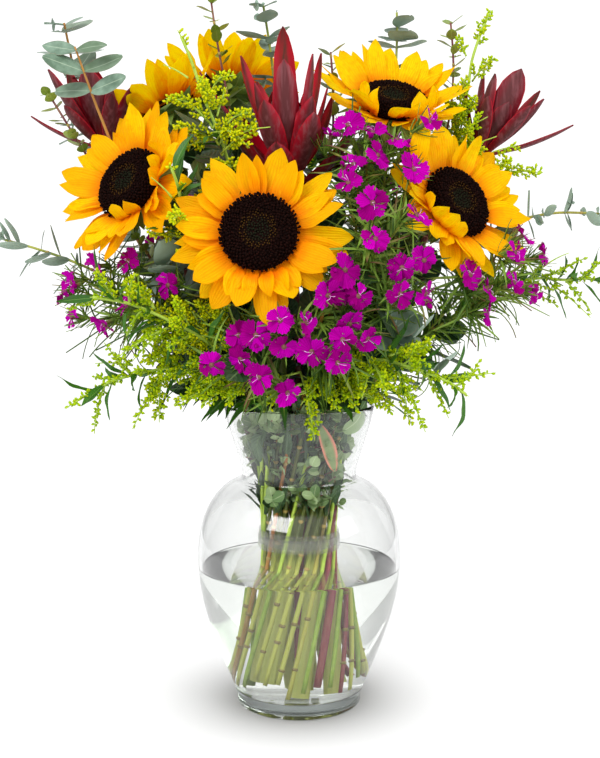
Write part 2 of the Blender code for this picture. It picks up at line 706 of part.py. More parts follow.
def conebush_core(bouquet, name, slot, foot, upper, axis):
    """A woody stem that ends in a small cone, and the cone's base and axis."""
    bouquet.node(name, "bract_red")
    path = thin_stem(bouquet, name, slot, foot, upper, CONEBUSH_STEM, 0.85, CONEBUSH_STEM_SIDES)
    axis = Vector(axis).normalized()
    base = path[-1] - axis * 2 * MM
    cone = [(radius * MM, height * MM) for radius, height in CONE_PROFILE]
    bouquet.add(name, turned(cone, 6, base, axis))
    return base, axis


def conebush_bracts(bouquet, name, base, axis, outer, inner):
    """Two layers of long leathery bracts that close round the cone."""
    edge = BRACT_ROOT * math.cos(math.pi / len(outer))
    layers = []
    for layer, bracts in enumerate((outer, inner)):
        petals = []
        for number, (tilt, length, width) in enumerate(bracts):
            outward = outward_of(axis, math.tau * (number + layer / 2) / len(bracts))
            widths = [(0, BRACT_BASE), (0.4, 0.9 * width * MM), (0.75, 0.9 * width * MM), (1, 0)]
            root = base + axis * BRACT_LEVELS[layer] + outward * edge
            variants = []
            for scale, change in itertools.product((1.0, 0.85, 0.7), (0, 8, -6, 16, 26)):
                lean = math.radians(tilt + change) + 0.4 * BRACT_BEND
                along = axis * math.cos(lean) + outward * math.sin(lean)
                variants.append((root, along, axis, length * scale * MM, widths, BRACT_BEND, 0.0))
            petals.append(variants)
        layers.append(chosen(bouquet, name, petals))
    bouquet.add(name, rosette(base, axis, BRACT_WASHER, BRACT_LEVELS, layers))


def pinks_heads(bouquet, name, path, flowers):
    """Each flower on its own stalk from the top of the stem, facing out of the bouquet."""
    draw = random.Random(name)
    heart = at((0, 20, 290))
    heads = name + " heads"
    bouquet.trees[heads] = []
    for number, place in enumerate(flowers):
        centre = at(place)
        axis = (centre - heart).normalized()
        axis = (axis + Vector([draw.uniform(-0.35, 0.35) for _ in range(3)])).normalized()
        turn = draw.uniform(0, 1)
        size = PINK_RADIUS * draw.uniform(0.88, 1.1)
        variants = []
        for shift, step in itertools.product(flower_shifts(axis), range(4)):
            spot = along_path(path[-4:], 1 - ((number + 3 * step) % 10 + 0.4) / 11)
            variants.append((spot, centre + shift, axis, size, turn))
        placed = bouquet.place(name, pink_flower, variants)
        if placed:
            bouquet.shield(heads, pink_flower(None, *placed[1:]))


def along_path(path, share):
    """The point at that share of the path, by its points and not by its length."""
    place = share * (len(path) - 1)
    index = min(int(place), len(path) - 2)
    return path[index].lerp(path[index + 1], place - index)


def flower_shifts(axis):
    """Small moves that a crowded flower tries in turn, outwards first."""
    yield Vector()
    for reach in (3, 6, 10, 15, 21):
        yield axis * reach * MM
        for turn in range(0, 360, 60):
            yield (outward_of(axis, math.radians(turn)) + axis * 0.3) * reach * MM


def needle_leaves(bouquet, name, path):
    """Narrow pointed leaves in a brush up the top of the stem."""
    draw = random.Random(name)
    ahead = (path[-1] - path[-3]).normalized()
    for number in range(NEEDLES):
        spot = along_path(path[-5:], 0.1 + 0.85 * number / NEEDLES)
        outward = outward_of(ahead, number * GOLDEN_ANGLE)
        length = draw.uniform(26, 36) * MM
        variants = []
        for lift, turn in itertools.product((0.5, 0.9, 0.2, 1.4), (0, 0.5, -0.5)):
            along = outward + ahead * lift + ahead.cross(outward) * turn
            variants.append((spot, spot + along.normalized() * length, NEEDLE_RADIUS))
        bouquet.place(name, spike, variants)


def spike(root, tip, radius, grow=0.0):
    """A three-sided needle."""
    ahead = (tip - root).normalized()
    ring = [root + outward_of(ahead, math.tau * number / 3) * (radius + grow) for number in range(3)]
    return skin([ring, [tip + ahead * grow]])


def goldenrod_plumes(bouquet, name, path, lean):
    """A plume on the stem's tip, and side plumes that arch away from it to all sides."""
    lean = Vector(lean)
    draw = random.Random(name)
    ahead = (path[-1] - path[-3]).normalized()
    for number in range(PLUMES):
        spot, root = path[-1] - ahead * TOP_PLUME_ROOT, TOP_PLUME_ROOT
        along = (ahead + lean * 0.4).normalized()
        if number > 0:
            spot, root = along_path(path[-4:], 1 - number / (PLUMES + 1)), PLUME_ROOT
            outward = outward_of(ahead, number * GOLDEN_ANGLE)
            along = (outward * 0.9 + ahead * 0.5 + lean * 0.7).normalized()
        length = draw.uniform(32, 42) * MM
        variants = []
        sides = (ahead.cross(along), ahead)
        for scale, turn, side in itertools.product((1.0, 0.8, 0.6), (0, 0.5, -0.5, 1.0, -1.0), sides):
            aim = (along + side * turn).normalized()
            variants.append((arch(spot, aim, length * scale, PLUME_STEPS), PLUME_RADIUS, root))
        bouquet.place(name, plume, variants)


def arch(start, along, length, steps):
    """Points of a twig that sets out along and droops a little towards its end."""
    points = []
    for step in range(steps + 1):
        share = step / steps
        points.append(start + along * length * share + Vector((0, 0, -0.22)) * length * share**2)
    return points


def lance_leaves(bouquet, name, path, count):
    """Lance-shaped stem leaves that reach out over the vase's rim."""
    widths = [(0, LEAF_ROOT), (0.4, 9 * MM), (1, 0)]
    upward = Vector((0, 0, 1))
    for number in range(count):
        spot = along_path(path[1:4], 0.25 + 0.5 * number)
        outward = Vector((spot.x, spot.y, 0)).normalized()
        variants = []
        for turn, rise in itertools.product((0, 0.4, -0.4, 0.8, -0.8, 1.3, -1.3), (0.15, 0.45, 0.8)):
            along = outward + upward.cross(outward) * turn + upward * rise
            variants.append((spot, along, upward, LANCE_LENGTH, widths, LANCE_BEND))
        bouquet.place(name, blade, variants)


def eucalyptus_leaves(bouquet, name, path, length, breadth, pairs):
    """Rounded leaves in opposite pairs, each pair turned a quarter from the last."""
    widths = [(0, LEAF_ROOT), (0.55, breadth * MM), (1, 0)]
    if breadth > NARROW_LEAF:
        widths = [(0, LEAF_ROOT), (0.4, 0.92 * breadth * MM), (0.78, 0.9 * breadth * MM), (1, 0)]
    for pair, hand in itertools.product(range(pairs), (0, 1)):
        share = 1 - 0.55 * (pair + 0.1) / pairs
        spot = along_path(path[1:], share)
        ahead = (spot - along_path(path[1:], share - 0.1)).normalized()
        size = length * (0.62 + 0.38 * pair / (pairs - 1)) * MM
        angle = math.pi * hand + math.pi / 2 * pair + 0.4
        outward, other = outward_of(ahead, angle), outward_of(ahead, angle + math.pi / 2)
        variants = []
        for lift, sweep in itertools.product((0.35, 0.7, 0.1, 1.2), (0, 0.5, -0.5)):
            along = (outward + ahead * lift + other * sweep).normalized()
            variants.append((spot + along * 0.3 * MM, along, ahead, size, widths, LEAF_BEND))
        bouquet.place(name, blade, variants)


def shrub_leaves(bouquet, name, path):
    """Small oval leaves up the stem, the first few of them in the vase's collar."""
    widths = [(0, LEAF_ROOT), (0.5, 6.5 * MM), (1, 0)]
    draw = random.Random(name)
    for number in range(SHRUB_LEAVES):
        share = 1 - 0.68 * number / SHRUB_LEAVES
        spot = along_path(path[1:], share - 0.02)
        ahead = (along_path(path[1:], share) - along_path(path[1:], share - 0.1)).normalized()
        outward = outward_of(ahead, number * GOLDEN_ANGLE)
        size = draw.uniform(10, 13) * MM
        variants = []
        for turn in (0, 0.6, -0.6, 1.2, -1.2, 2.2):
            aim = (outward + ahead.cross(outward) * turn + ahead * 0.6).normalized()
            variants.append((spot, aim, ahead, size, widths))
        bouquet.place(name, blade, variants)


def paint(name):
    """The Principled material of that name."""
    material = bpy.data.materials.get(name)
    if material:
        return material
    colour, roughness = MATERIALS[name]
    material = bpy.data.materials.new(name)
    material.use_nodes = True
    inputs = material.node_tree.nodes["Principled BSDF"].inputs
    inputs["Base Color"].default_value = (*colour, 1)
    inputs["Roughness"].default_value = roughness
    inputs["Metallic"].default_value = 0.0
    inputs["Transmission Weight"].default_value = 1.0 if name in ("glass", "water") else 0.0
    return material


def mesh_object(name, piece):
    mesh = bpy.data.meshes.new(name)
    mesh.from_pydata([tuple(point) for point in piece[0]], [], piece[1])
    return bpy.data.objects.new(name, mesh)


def drop_scraps(mesh):
    """Keeps only the largest run of faces joined by edges: a union can leave slivers beside it."""
    shape = bmesh.new()
    shape.from_mesh(mesh)
    waiting = set(shape.faces)
    parts = []
    while waiting:
        reached = [waiting.pop()]
        for face in reached:
            beside = {other for edge in face.edges for other in edge.link_faces} & waiting
            waiting -= beside
            reached += beside
        parts.append(reached)
    parts.sort(key=len)
    scraps = [face for part in parts[:-1] for face in part]
    bmesh.ops.delete(shape, geom=scraps, context="FACES")
    shape.to_mesh(mesh)
    shape.free()


def fused(name, pieces, operation):
    """One object: the first piece, with the others joined to it or cut from it by one Boolean."""
    base = mesh_object(name, pieces[0])
    bpy.context.scene.collection.objects.link(base)
    if len(pieces) == 1:
        return base
    others = bpy.data.collections.new(name + "_pieces")
    bpy.context.scene.collection.children.link(others)
    for number, piece in enumerate(pieces[1:]):
        others.objects.link(mesh_object(f"{name}_piece_{number}", piece))
    joining = base.modifiers.new("join", "BOOLEAN")
    joining.operand_type = "COLLECTION"
    joining.collection = others
    joining.operation = operation
    joining.solver = "MANIFOLD"
    graph = bpy.context.evaluated_depsgraph_get()
    base.data = bpy.data.meshes.new_from_object(base.evaluated_get(graph))
    base.modifiers.clear()
    drop_scraps(base.data)
    for piece in list(others.objects):
        bpy.data.objects.remove(piece)
    bpy.data.collections.remove(others)
    return base


def make_sunflowers(bouquet):
    """The sunflowers' stems and discs, which everything else is placed round."""
    for name, (head, look, slot, foot, _, _) in SUNFLOWERS.items():
        bouquet.node(name + "_stem", "sunflower_green")
        bouquet.node(name + "_disc", "disc_brown")
        bouquet.node(name + "_petals", "ray_yellow")
        sunflower_green(bouquet, name + "_stem", at(head), facing(*look), slot, foot)
        sunflower_disc(bouquet, name + "_disc", at(head), facing(*look))


def make_rays_and_bracts(bouquet):
    """The conebush stems and cones first, then the rays of the sunflowers, then the bracts."""
    cores = {}
    for name, (slot, foot, upper, axis, _, _) in CONEBUSHES.items():
        cores[name] = conebush_core(bouquet, name, slot, foot, upper, axis)
    for name, (head, look, _, _, leans, length) in SUNFLOWERS.items():
        sunflower_rays(bouquet, name + "_petals", at(head), facing(*look), leans, length)
    for name, (*_, outer, inner) in CONEBUSHES.items():
        conebush_bracts(bouquet, name, *cores[name], outer, inner)


def make_thin_stems(bouquet):
    """The stems of the other plants, and the path that each one takes."""
    paths = {}
    tables = ((PINKS, "pink_magenta"), (EUCALYPTUS, "eucalyptus"), (GOLDENRODS, "goldenrod"))
    for table, material in (*tables, (SHRUBS, "shrub_green")):
        for name, (slot, foot, upper, *_) in table.items():
            bouquet.node(name, material)
            paths[name] = thin_stem(bouquet, name, slot, foot, upper)
    return paths


def make_heads_and_leaves(bouquet, paths):
    """What the thin stems carry, the largest pieces first."""
    for name, (*_, flowers) in PINKS.items():
        pinks_heads(bouquet, name, paths[name], flowers)
    for name, (*_, lean) in GOLDENRODS.items():
        goldenrod_plumes(bouquet, name, paths[name], lean)
    for name, (*_, length, breadth, pairs) in EUCALYPTUS.items():
        eucalyptus_leaves(bouquet, name, paths[name], length, breadth, pairs)
    for name in GOLDENRODS:
        lance_leaves(bouquet, name, paths[name], 1 if "high" in name or "back" in name else 2)
    for name in SHRUBS:
        shrub_leaves(bouquet, name, paths[name])
    for name in PINKS:
        needle_leaves(bouquet, name, paths[name])


def main():
    for obj in list(bpy.data.objects):
        bpy.data.objects.remove(obj)
    bouquet = Bouquet()
    make_vase(bouquet)
    make_tie(bouquet)
    make_sunflowers(bouquet)
    make_rays_and_bracts(bouquet)
    paths = make_thin_stems(bouquet)
    make_heads_and_leaves(bouquet, paths)
    make_water(bouquet)
    for name, pieces in bouquet.pieces.items():
        node = fused(name, pieces, "DIFFERENCE" if name == "water" else "UNION")
        node.data.materials.clear()
        node.data.materials.append(paint(bouquet.materials[name]))
        node.data.shade_smooth()
        node.data.set_sharp_from_angle(angle=SHARP_ANGLE)


main()
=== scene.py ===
"""A wildflower bouquet in a clear glass vase, dressed for its photograph.

Every stem, leaf, bract and petal is laid along its own solid in the frame, and finer ones of the same
kind grow beside it. Lengths are metres, +Z is up and -Y is the bouquet's front.
"""

import math
import random

import bmesh
import bpy
from mathutils import Matrix, Vector
from mathutils.bvhtree import BVHTree
from mathutils.geometry import interpolate_bezier


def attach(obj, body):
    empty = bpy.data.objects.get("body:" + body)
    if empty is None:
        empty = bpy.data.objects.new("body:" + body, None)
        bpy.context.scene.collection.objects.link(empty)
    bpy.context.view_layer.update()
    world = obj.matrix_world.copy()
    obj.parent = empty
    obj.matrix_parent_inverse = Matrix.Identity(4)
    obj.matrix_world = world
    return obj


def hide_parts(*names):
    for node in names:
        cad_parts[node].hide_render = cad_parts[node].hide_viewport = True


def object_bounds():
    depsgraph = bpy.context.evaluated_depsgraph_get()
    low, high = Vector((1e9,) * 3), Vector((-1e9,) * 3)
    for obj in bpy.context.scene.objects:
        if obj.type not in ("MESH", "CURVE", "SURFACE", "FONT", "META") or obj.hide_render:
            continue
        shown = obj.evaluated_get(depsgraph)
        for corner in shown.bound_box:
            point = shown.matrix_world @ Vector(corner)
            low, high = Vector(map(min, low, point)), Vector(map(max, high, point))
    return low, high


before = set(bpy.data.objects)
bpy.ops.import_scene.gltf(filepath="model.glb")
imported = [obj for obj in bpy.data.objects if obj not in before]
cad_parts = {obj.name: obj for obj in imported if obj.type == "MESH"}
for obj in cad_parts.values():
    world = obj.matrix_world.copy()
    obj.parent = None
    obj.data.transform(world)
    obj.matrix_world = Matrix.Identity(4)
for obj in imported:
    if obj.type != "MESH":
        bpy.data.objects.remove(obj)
solid_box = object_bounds()

# The studio: a pale table top that runs out into white, soft light from all round with a large soft
# lamp over the front, and the camera 0.82 m from the vase's axis, a little above the vase's rim.
MM = 0.001
PHOTO_HEIGHT = 758
CAMERA_AWAY = 820 * MM
CAMERA_HEIGHT = 318.5 * MM
FOCUS_PIXELS = 1161
TILT_PIXELS = 120
SENSOR = 36

scene = bpy.context.scene
scene.view_settings.view_transform = "Standard"
camera = bpy.data.cameras.new("camera")
camera.sensor_fit = "VERTICAL"
camera.sensor_height = SENSOR
camera.lens = FOCUS_PIXELS * SENSOR / PHOTO_HEIGHT
camera.shift_x = 1 / PHOTO_HEIGHT
camera.clip_start = 0.01
eye = bpy.data.objects.new("camera", camera)
eye.location = (0, -CAMERA_AWAY, CAMERA_HEIGHT)
eye.rotation_euler = (math.pi / 2 - math.atan(TILT_PIXELS / FOCUS_PIXELS), 0, 0)
scene.collection.objects.link(eye)
scene.camera = eye


def lamp(name, place, aim, size, power):
    """A square soft lamp at place that faces aim."""
    light = bpy.data.lights.new(name, "AREA")
    light.shape = "SQUARE"
    light.size = size
    light.energy = power
    made = bpy.data.objects.new(name, light)
    made.location = place
    made.rotation_euler = (Vector(aim) - Vector(place)).to_track_quat("-Z", "Y").to_euler()
    scene.collection.objects.link(made)


lamp("soft_lamp_over_the_front", (-0.7, -1.3, 1.5), (0, 0, 0.30), 0.8, 20)
lamp("soft_lamp_on_the_right", (1.2, -0.6, 0.9), (0, 0, 0.30), 0.6, 6)


class Finish:
    """A material in the making. Each point of a piece carries its place on its own leaf, petal or stem:
    how far across (-1 to 1), how far along (0 at the root, 1 at the tip), and a shade of its own."""

    def __init__(self, name, roughness, **settings):
        self.material = bpy.data.materials.new(name)
        self.material.use_nodes = True
        self.nodes = self.material.node_tree.nodes
        self.links = self.material.node_tree.links
        self.shader = self.nodes["Principled BSDF"]
        self.shader.inputs["Roughness"].default_value = roughness
        for socket, value in settings.items():
            self.shader.inputs[socket.replace("_", " ")].default_value = value

    def feed(self, socket, value):
        """Joins a socket to another, or sets it to a number or a colour."""
        if isinstance(value, bpy.types.NodeSocket):
            self.links.new(value, socket)
        elif socket.type == "RGBA":
            socket.default_value = (*value, 1)
        else:
            socket.default_value = value

    def place(self):
        """How far across and along, and the shade, of each point."""
        read = self.nodes.new("ShaderNodeAttribute")
        read.attribute_name = "place"
        parts = self.nodes.new("ShaderNodeSeparateXYZ")
        self.links.new(read.outputs["Vector"], parts.inputs[0])
        return parts.outputs[0], parts.outputs[1], parts.outputs[2]

    def sum(self, operation, first, second=0.0, third=0.0):
        """The result of an operation on up to three values."""
        step = self.nodes.new("ShaderNodeMath")
        step.operation = operation
        for socket, value in zip(step.inputs, (first, second, third)):
            self.feed(socket, value)
        return step.outputs[0]

    def ramp(self, value, low, high, bottom=0.0, top=1.0):
        """Eases from bottom to top while the value goes from low to high."""
        step = self.nodes.new("ShaderNodeMapRange")
        step.interpolation_type = "SMOOTHSTEP"
        for socket, number in zip(step.inputs, (value, low, high, bottom, top)):
            self.feed(socket, number)
        return step.outputs[0]

    def off_middle(self, across, low, high, bottom=0.0, top=1.0):
        """Eases from bottom to top between two distances from a leaf's middle line, whose edge is at 1."""
        return self.ramp(self.sum("ABSOLUTE", across), low, high, bottom, top)

    def ripples(self, value, count):
        """Even waves along a value, between -1 and 1."""
        return self.sum("SINE", self.sum("MULTIPLY", value, count))

    def side_veins(self, across, along, slant, count):
        """Ripples that run from the midrib outwards and slant towards the tip."""
        slanted = self.sum("MULTIPLY", self.sum("ABSOLUTE", across), slant)
        return self.ripples(self.sum("ADD", along, slanted), count)

    def blend(self, first, second, share):
        """A colour between two others."""
        mix = self.nodes.new("ShaderNodeMix")
        mix.data_type = "RGBA"
        self.feed(mix.inputs[0], share)
        self.feed(mix.inputs[6], first)
        self.feed(mix.inputs[7], second)
        return mix.outputs[2]

    def noise(self, scale, detail=2.0, stretch=(1, 1, 1)):
        """Cloudy variation, so many clouds to a metre."""
        where = self.nodes.new("ShaderNodeTexCoord")
        drawn = self.nodes.new("ShaderNodeMapping")
        drawn.inputs["Scale"].default_value = stretch
        clouds = self.nodes.new("ShaderNodeTexNoise")
        clouds.inputs["Scale"].default_value = scale
        clouds.inputs["Detail"].default_value = detail
        self.links.new(where.outputs["Object"], drawn.inputs["Vector"])
        self.links.new(drawn.outputs["Vector"], clouds.inputs["Vector"])
        return clouds.outputs["Fac"]

    def height(self):
        """How high above the table each point is, in metres."""
        where = self.nodes.new("ShaderNodeTexCoord")
        parts = self.nodes.new("ShaderNodeSeparateXYZ")
        self.links.new(where.outputs["Object"], parts.inputs[0])
        return parts.outputs[2]

    def colour(self, value):
        """Sets the surface's own colour."""
        self.feed(self.shader.inputs["Base Color"], value)

    def bump(self, height, distance, strength=1.0):
        """Raises the surface by up to distance where height is 1."""
        step = self.nodes.new("ShaderNodeBump")
        step.inputs["Strength"].default_value = strength
        step.inputs["Distance"].default_value = distance
        self.links.new(height, step.inputs["Height"])
        self.links.new(step.outputs["Normal"], self.shader.inputs["Normal"])

    def glow(self, colour, share):
        """Lets that share of the light through, as a thin petal or leaf does."""
        through = self.nodes.new("ShaderNodeBsdfTranslucent")
        mix = self.nodes.new("ShaderNodeMixShader")
        mix.inputs["Fac"].default_value = share
        self.feed(through.inputs["Color"], colour)
        self.links.new(self.shader.outputs["BSDF"], mix.inputs[1])
        self.links.new(through.outputs["BSDF"], mix.inputs[2])
        self.links.new(mix.outputs["Shader"], self.nodes["Material Output"].inputs["Surface"])


def seen(red, green, blue):
    """A colour as the eye sees it, 0 to 255 each, as the light that a surface gives back."""
    shares = (red / 255, green / 255, blue / 255)
    return tuple(share / 12.92 if share < 0.04045 else ((share + 0.055) / 1.055) ** 2.4 for share in shares)


BRIGHT_BACKGROUND = 1.15
BRIGHT_ROOM = 1.06
SIDE_WALLS = (0.15, 0.6, 1.0, 0.6)
world = bpy.data.worlds.new("white_room")
world.use_nodes = True
scene.world = world
sky = world.node_tree
direction = sky.nodes.new("ShaderNodeTexCoord")
parts = sky.nodes.new("ShaderNodeSeparateXYZ")
sideways = sky.nodes.new("ShaderNodeMath")
sideways.operation = "ABSOLUTE"
shaded = sky.nodes.new("ShaderNodeMapRange")
shaded.interpolation_type = "SMOOTHSTEP"
for socket, value in zip(shaded.inputs[1:], SIDE_WALLS):
    socket.default_value = value
straight = sky.nodes.new("ShaderNodeLightPath")
even = sky.nodes.new("ShaderNodeMix")
even.inputs[3].default_value = BRIGHT_ROOM
strength = sky.nodes.new("ShaderNodeMix")
strength.inputs[3].default_value = BRIGHT_BACKGROUND
sky.links.new(direction.outputs["Generated"], parts.inputs[0])
sky.links.new(parts.outputs[0], sideways.inputs[0])
sky.links.new(sideways.outputs[0], shaded.inputs[0])
sky.links.new(straight.outputs["Is Camera Ray"], strength.inputs[0])
sky.links.new(straight.outputs["Is Diffuse Ray"], even.inputs[0])
sky.links.new(shaded.outputs[0], even.inputs[2])
sky.links.new(even.outputs[0], strength.inputs[2])
sky.links.new(strength.outputs[0], sky.nodes["Background"].inputs["Strength"])
sky.nodes["Background"].inputs["Color"].default_value = (1, 1, 1, 1)


def turns_of(sides):
    """The angles of that many even sides round a circle."""
    return [math.tau * side / sides for side in range(sides)]


TABLE_REACH = 0.9
TABLE_DROP = 0.0002
TABLE_SIDES = 72
table = bpy.data.meshes.new("table_top")
brim = [(math.cos(t) * TABLE_REACH, math.sin(t) * TABLE_REACH, -TABLE_DROP) for t in turns_of(TABLE_SIDES)]
table.from_pydata(brim, [], [tuple(range(TABLE_SIDES))])
table_top = bpy.data.objects.new("table_top", table)
scene.collection.objects.link(table_top)
paper = Finish("pale_table", 0.7, Specular_IOR_Level=0.1)
paper.colour(paper.blend((0.245, 0.245, 0.245), (0.255, 0.255, 0.255), paper.noise(3)))
table.materials.append(paper.material)

# The vase: clear glass, blown in a mould. It has a thick foot, a full belly, a pinched neck and a
# flared collar, and its rim is fire-polished round.
FOOT_RADIUS = 44.6
RIM_RADIUS = 53.5
VASE_HEIGHT = 216
VASE_WALL = 2.6
VASE_FLOOR = 11
VASE_CURVES = [
    [(45, 7), (59, 44), (72.7, 70), (72.7, 107)],
    [(72.7, 107), (72.7, 134), (62, 157), (41.6, 163.2)],
    [(41.6, 163.2), (40.6, 164.4), (40.4, 166.5), (40.9, 169)],
    [(40.9, 169), (42.8, 181), (51.5, 200), (53.5, 216)],
]
VASE_SIDES = 96
LIP = 1.6
FLOOR_CORNER = 3.5


class Growth:
    """The skin of a piece as it grows: its points, each one's place, and its faces and their finish."""

    def __init__(self):
        self.points = []
        self.places = []
        self.faces = []
        self.finishes = []

    def net(self, rows, looped, places, finish):
        """Four-sided faces between rows of points. looped joins each row's end to its start."""
        first, wide = len(self.points), len(rows[0])
        for row in rows:
            self.points += row
        self.places += places
        for number in range(len(rows) - 1):
            start = first + number * wide
            for step in range(wide if looped else wide - 1):
                beside = (step + 1) % wide
                self.faces.append((start + step, start + beside, start + wide + beside, start + wide + step))
                self.finishes.append(finish)
        return first

    def sheet(self, rows, finish=0, shade=0.5):
        """A leaf or petal: rows of points across it, from its root to its tip."""
        wide, long = len(rows[0]) - 1, len(rows) - 1
        places = [(2 * x / wide - 1, y / long, shade) for y in range(long + 1) for x in range(wide + 1)]
        self.net(rows, False, places, finish)

    def tube(self, rings, finish=0, shade=0.5, capped=(True, True)):
        """A stem or a turned shape: rings of points from its root to its tip, with flat ends."""
        wide, long = len(rings[0]), len(rings) - 1
        places = [(2 * x / wide - 1, y / long, shade) for y in range(long + 1) for x in range(wide)]
        first = self.net(rings, True, places, finish)
        last = first + long * wide
        if capped[0]:
            self.faces.append(tuple(range(first, first + wide))[::-1])
            self.finishes.append(finish)
        if capped[1]:
            self.faces.append(tuple(range(last, last + wide)))
            self.finishes.append(finish)

    def piece(self, name, nodes, finishes, clear=False):
        """The finished piece, which stands for those nodes of the frame. A clear one shades nothing."""
        low, high = solid_box
        kept = [tuple(min(max(point[i], low[i]), high[i]) for i in range(3)) for point in self.points]
        mesh = bpy.data.meshes.new(name)
        mesh.from_pydata(kept, [], self.faces)
        for finish in finishes:
            mesh.materials.append(finish.material)
        mesh.polygons.foreach_set("material_index", self.finishes)
        mesh.shade_smooth()
        place = mesh.attributes.new("place", "FLOAT_VECTOR", "POINT")
        place.data.foreach_set("vector", [number for spot in self.places for number in spot])
        made = bpy.data.objects.new(name, mesh)
        made.visible_diffuse = not clear
        scene.collection.objects.link(made)
        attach(made, "root")
        if nodes:
            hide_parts(*nodes)
        return made


def turned(profile, sides=VASE_SIDES):
    """Rings about the vase's axis, from (radius, height) in millimetres."""
    rings = []
    for radius, height in profile:
        ring = [Vector((math.cos(t) * radius, math.sin(t) * radius, height)) * MM for t in turns_of(sides)]
        rings.append(ring)
    return rings


def vase_side(inward=0.0, steps=14):
    """The vase's side from foot to rim as close-set (radius, height) points, moved inwards."""
    side = []
    for curve in VASE_CURVES:
        side += interpolate_bezier(*[Vector((*point, 0)) for point in curve], steps)[:-1]
    side.append(Vector((RIM_RADIUS, VASE_HEIGHT, 0)))
    moved = []
    for before, here, after in zip([side[0], *side], side, [*side[1:], side[-1]]):
        along = (after - before).normalized()
        moved.append((here.x - along.y * inward, here.y + along.x * inward))
    return moved


def rounded(centre, radius, start, end, steps):
    """(radius, height) points round a small edge, between two angles in degrees."""
    angles = [math.radians(start + (end - start) * step / steps) for step in range(steps + 1)]
    return [(centre[0] + radius * math.cos(a), centre[1] + radius * math.sin(a)) for a in angles]


def wall_radius(side, height):
    """The side's radius at a height, both in millimetres."""
    for (low_radius, low), (high_radius, high) in zip(side, side[1:]):
        if low <= height <= high:
            return low_radius + (high_radius - low_radius) * (height - low) / max(high - low, 1e-6)
    return side[-1][0]


outer_side = [point for point in vase_side() if point[1] < VASE_HEIGHT - LIP]
inner_side = vase_side(VASE_WALL)
inner_side = [point for point in inner_side if VASE_FLOOR + FLOOR_CORNER < point[1] < VASE_HEIGHT - LIP]
foot = [(0.3, 1.6), (30, 1.6), (36, 1.5), (39, 0.9), *rounded((41.6, 1.4), 1.4, 255, 290, 4)]
foot += [*rounded((43.2, 1.5), 1.4, 300, 360, 4), (FOOT_RADIUS, 4.0), (44.9, 5.5)]
rim = [*rounded((RIM_RADIUS - 1.3, VASE_HEIGHT - 1.3), 1.3, 0, 180, 8)]
floor = [*rounded((inner_side[0][0] - 4.4, VASE_FLOOR + 4), 4, 350, 272, 6), (24, VASE_FLOOR - 0.3)]
floor += [(10, VASE_FLOOR), (0.3, VASE_FLOOR)]
growth = Growth()
growth.tube(turned([*foot, *outer_side, *rim, *inner_side[::-1], *floor]))
GLASS_HAZE = 72.0
glass = Finish("clear_glass", 0.0, Transmission_Weight=1.0, IOR=1.46)
glass.colour(glass.blend((0.985, 0.99, 0.985), (0.995, 1.0, 0.995), glass.noise(18)))
glass.bump(glass.noise(28, 1), 0.15 * MM, 0.25)
haze = glass.nodes.new("ShaderNodeVolumeAbsorption")
haze.inputs["Color"].default_value = (0.81, 0.825, 0.82, 1)
haze.inputs["Density"].default_value = GLASS_HAZE
glass.links.new(haze.outputs["Volume"], glass.nodes["Material Output"].inputs["Volume"])
glass_piece = growth.piece("vase_glass", ["vase"], [glass], clear=True)

# The water: clear, with the least green to it. It fills the belly to 99.5 mm round the stems, wets the
# glass and so climbs a little where it meets it.
WATER_TOP = 99.5
INTO_GLASS = 0.12
GREEN_OF_WATER = 1.6
wetted = vase_side(VASE_WALL - INTO_GLASS)
wet_side = [point for point in wetted if VASE_FLOOR + FLOOR_CORNER < point[1] < WATER_TOP]
edge = wall_radius(wetted, WATER_TOP)
wet_floor = [(0.3, VASE_FLOOR - INTO_GLASS), (24, VASE_FLOOR - 0.3 - INTO_GLASS)]
wet_floor += rounded((wet_side[0][0] - 4.4, VASE_FLOOR + 4), 4 + INTO_GLASS, 272, 350, 6)
climb = [(edge - 0.2, WATER_TOP + 1.0), (edge - 0.6, WATER_TOP + 0.6), (edge - 1.3, WATER_TOP + 0.25)]
climb += [(edge - 2.6, WATER_TOP + 0.05), (edge - 5, WATER_TOP), (30, WATER_TOP), (0.3, WATER_TOP)]
growth = Growth()
growth.tube(turned([*wet_floor, *wet_side, (edge, WATER_TOP), *climb]))
water = Finish("water", 0.0, Transmission_Weight=1.0, IOR=1.333)
water.colour(water.blend((0.985, 0.99, 0.985), (0.995, 1.0, 0.99), water.noise(14)))
stain = water.nodes.new("ShaderNodeVolumeAbsorption")
stain.inputs["Color"].default_value = (0.72, 0.80, 0.70, 1)
stain.inputs["Density"].default_value = GREEN_OF_WATER
water.links.new(stain.outputs["Volume"], water.nodes["Material Output"].inputs["Volume"])
water_piece = growth.piece("vase_water", ["water"], [water], clear=True)

# The light that the vase shades: a wide soft one from above, which reaches the table alone and leaves
# the soft shadow round the foot. The lamps shine on through the glass and the water.
overhead = bpy.data.lights.new("soft_light_over_the_table", "SUN")
overhead.energy = 10.2
overhead.angle = math.radians(52)
overhead.cycles.use_multiple_importance_sampling = False
overhead_light = bpy.data.objects.new("soft_light_over_the_table", overhead)
overhead_light.rotation_euler = (math.radians(4), 0, 0)
scene.collection.objects.link(overhead_light)
lit, shading = bpy.data.collections.new("lit_table"), bpy.data.collections.new("shading_vase")
lit.objects.link(table_top)
shading.objects.link(glass_piece)
shading.objects.link(water_piece)
overhead_light.light_linking.receiver_collection = lit
overhead_light.light_linking.blocker_collection = shading
let_through = bpy.data.collections.new("glass_that_lets_light_through")
for clear_piece in (glass_piece, water_piece):
    let_through.objects.link(clear_piece)
for linked in let_through.collection_objects:
    linked.light_linking.link_state = "EXCLUDE"
for light in [made for made in scene.objects if made.type == "LIGHT" and made.data.type == "AREA"]:
    light.light_linking.blocker_collection = let_through

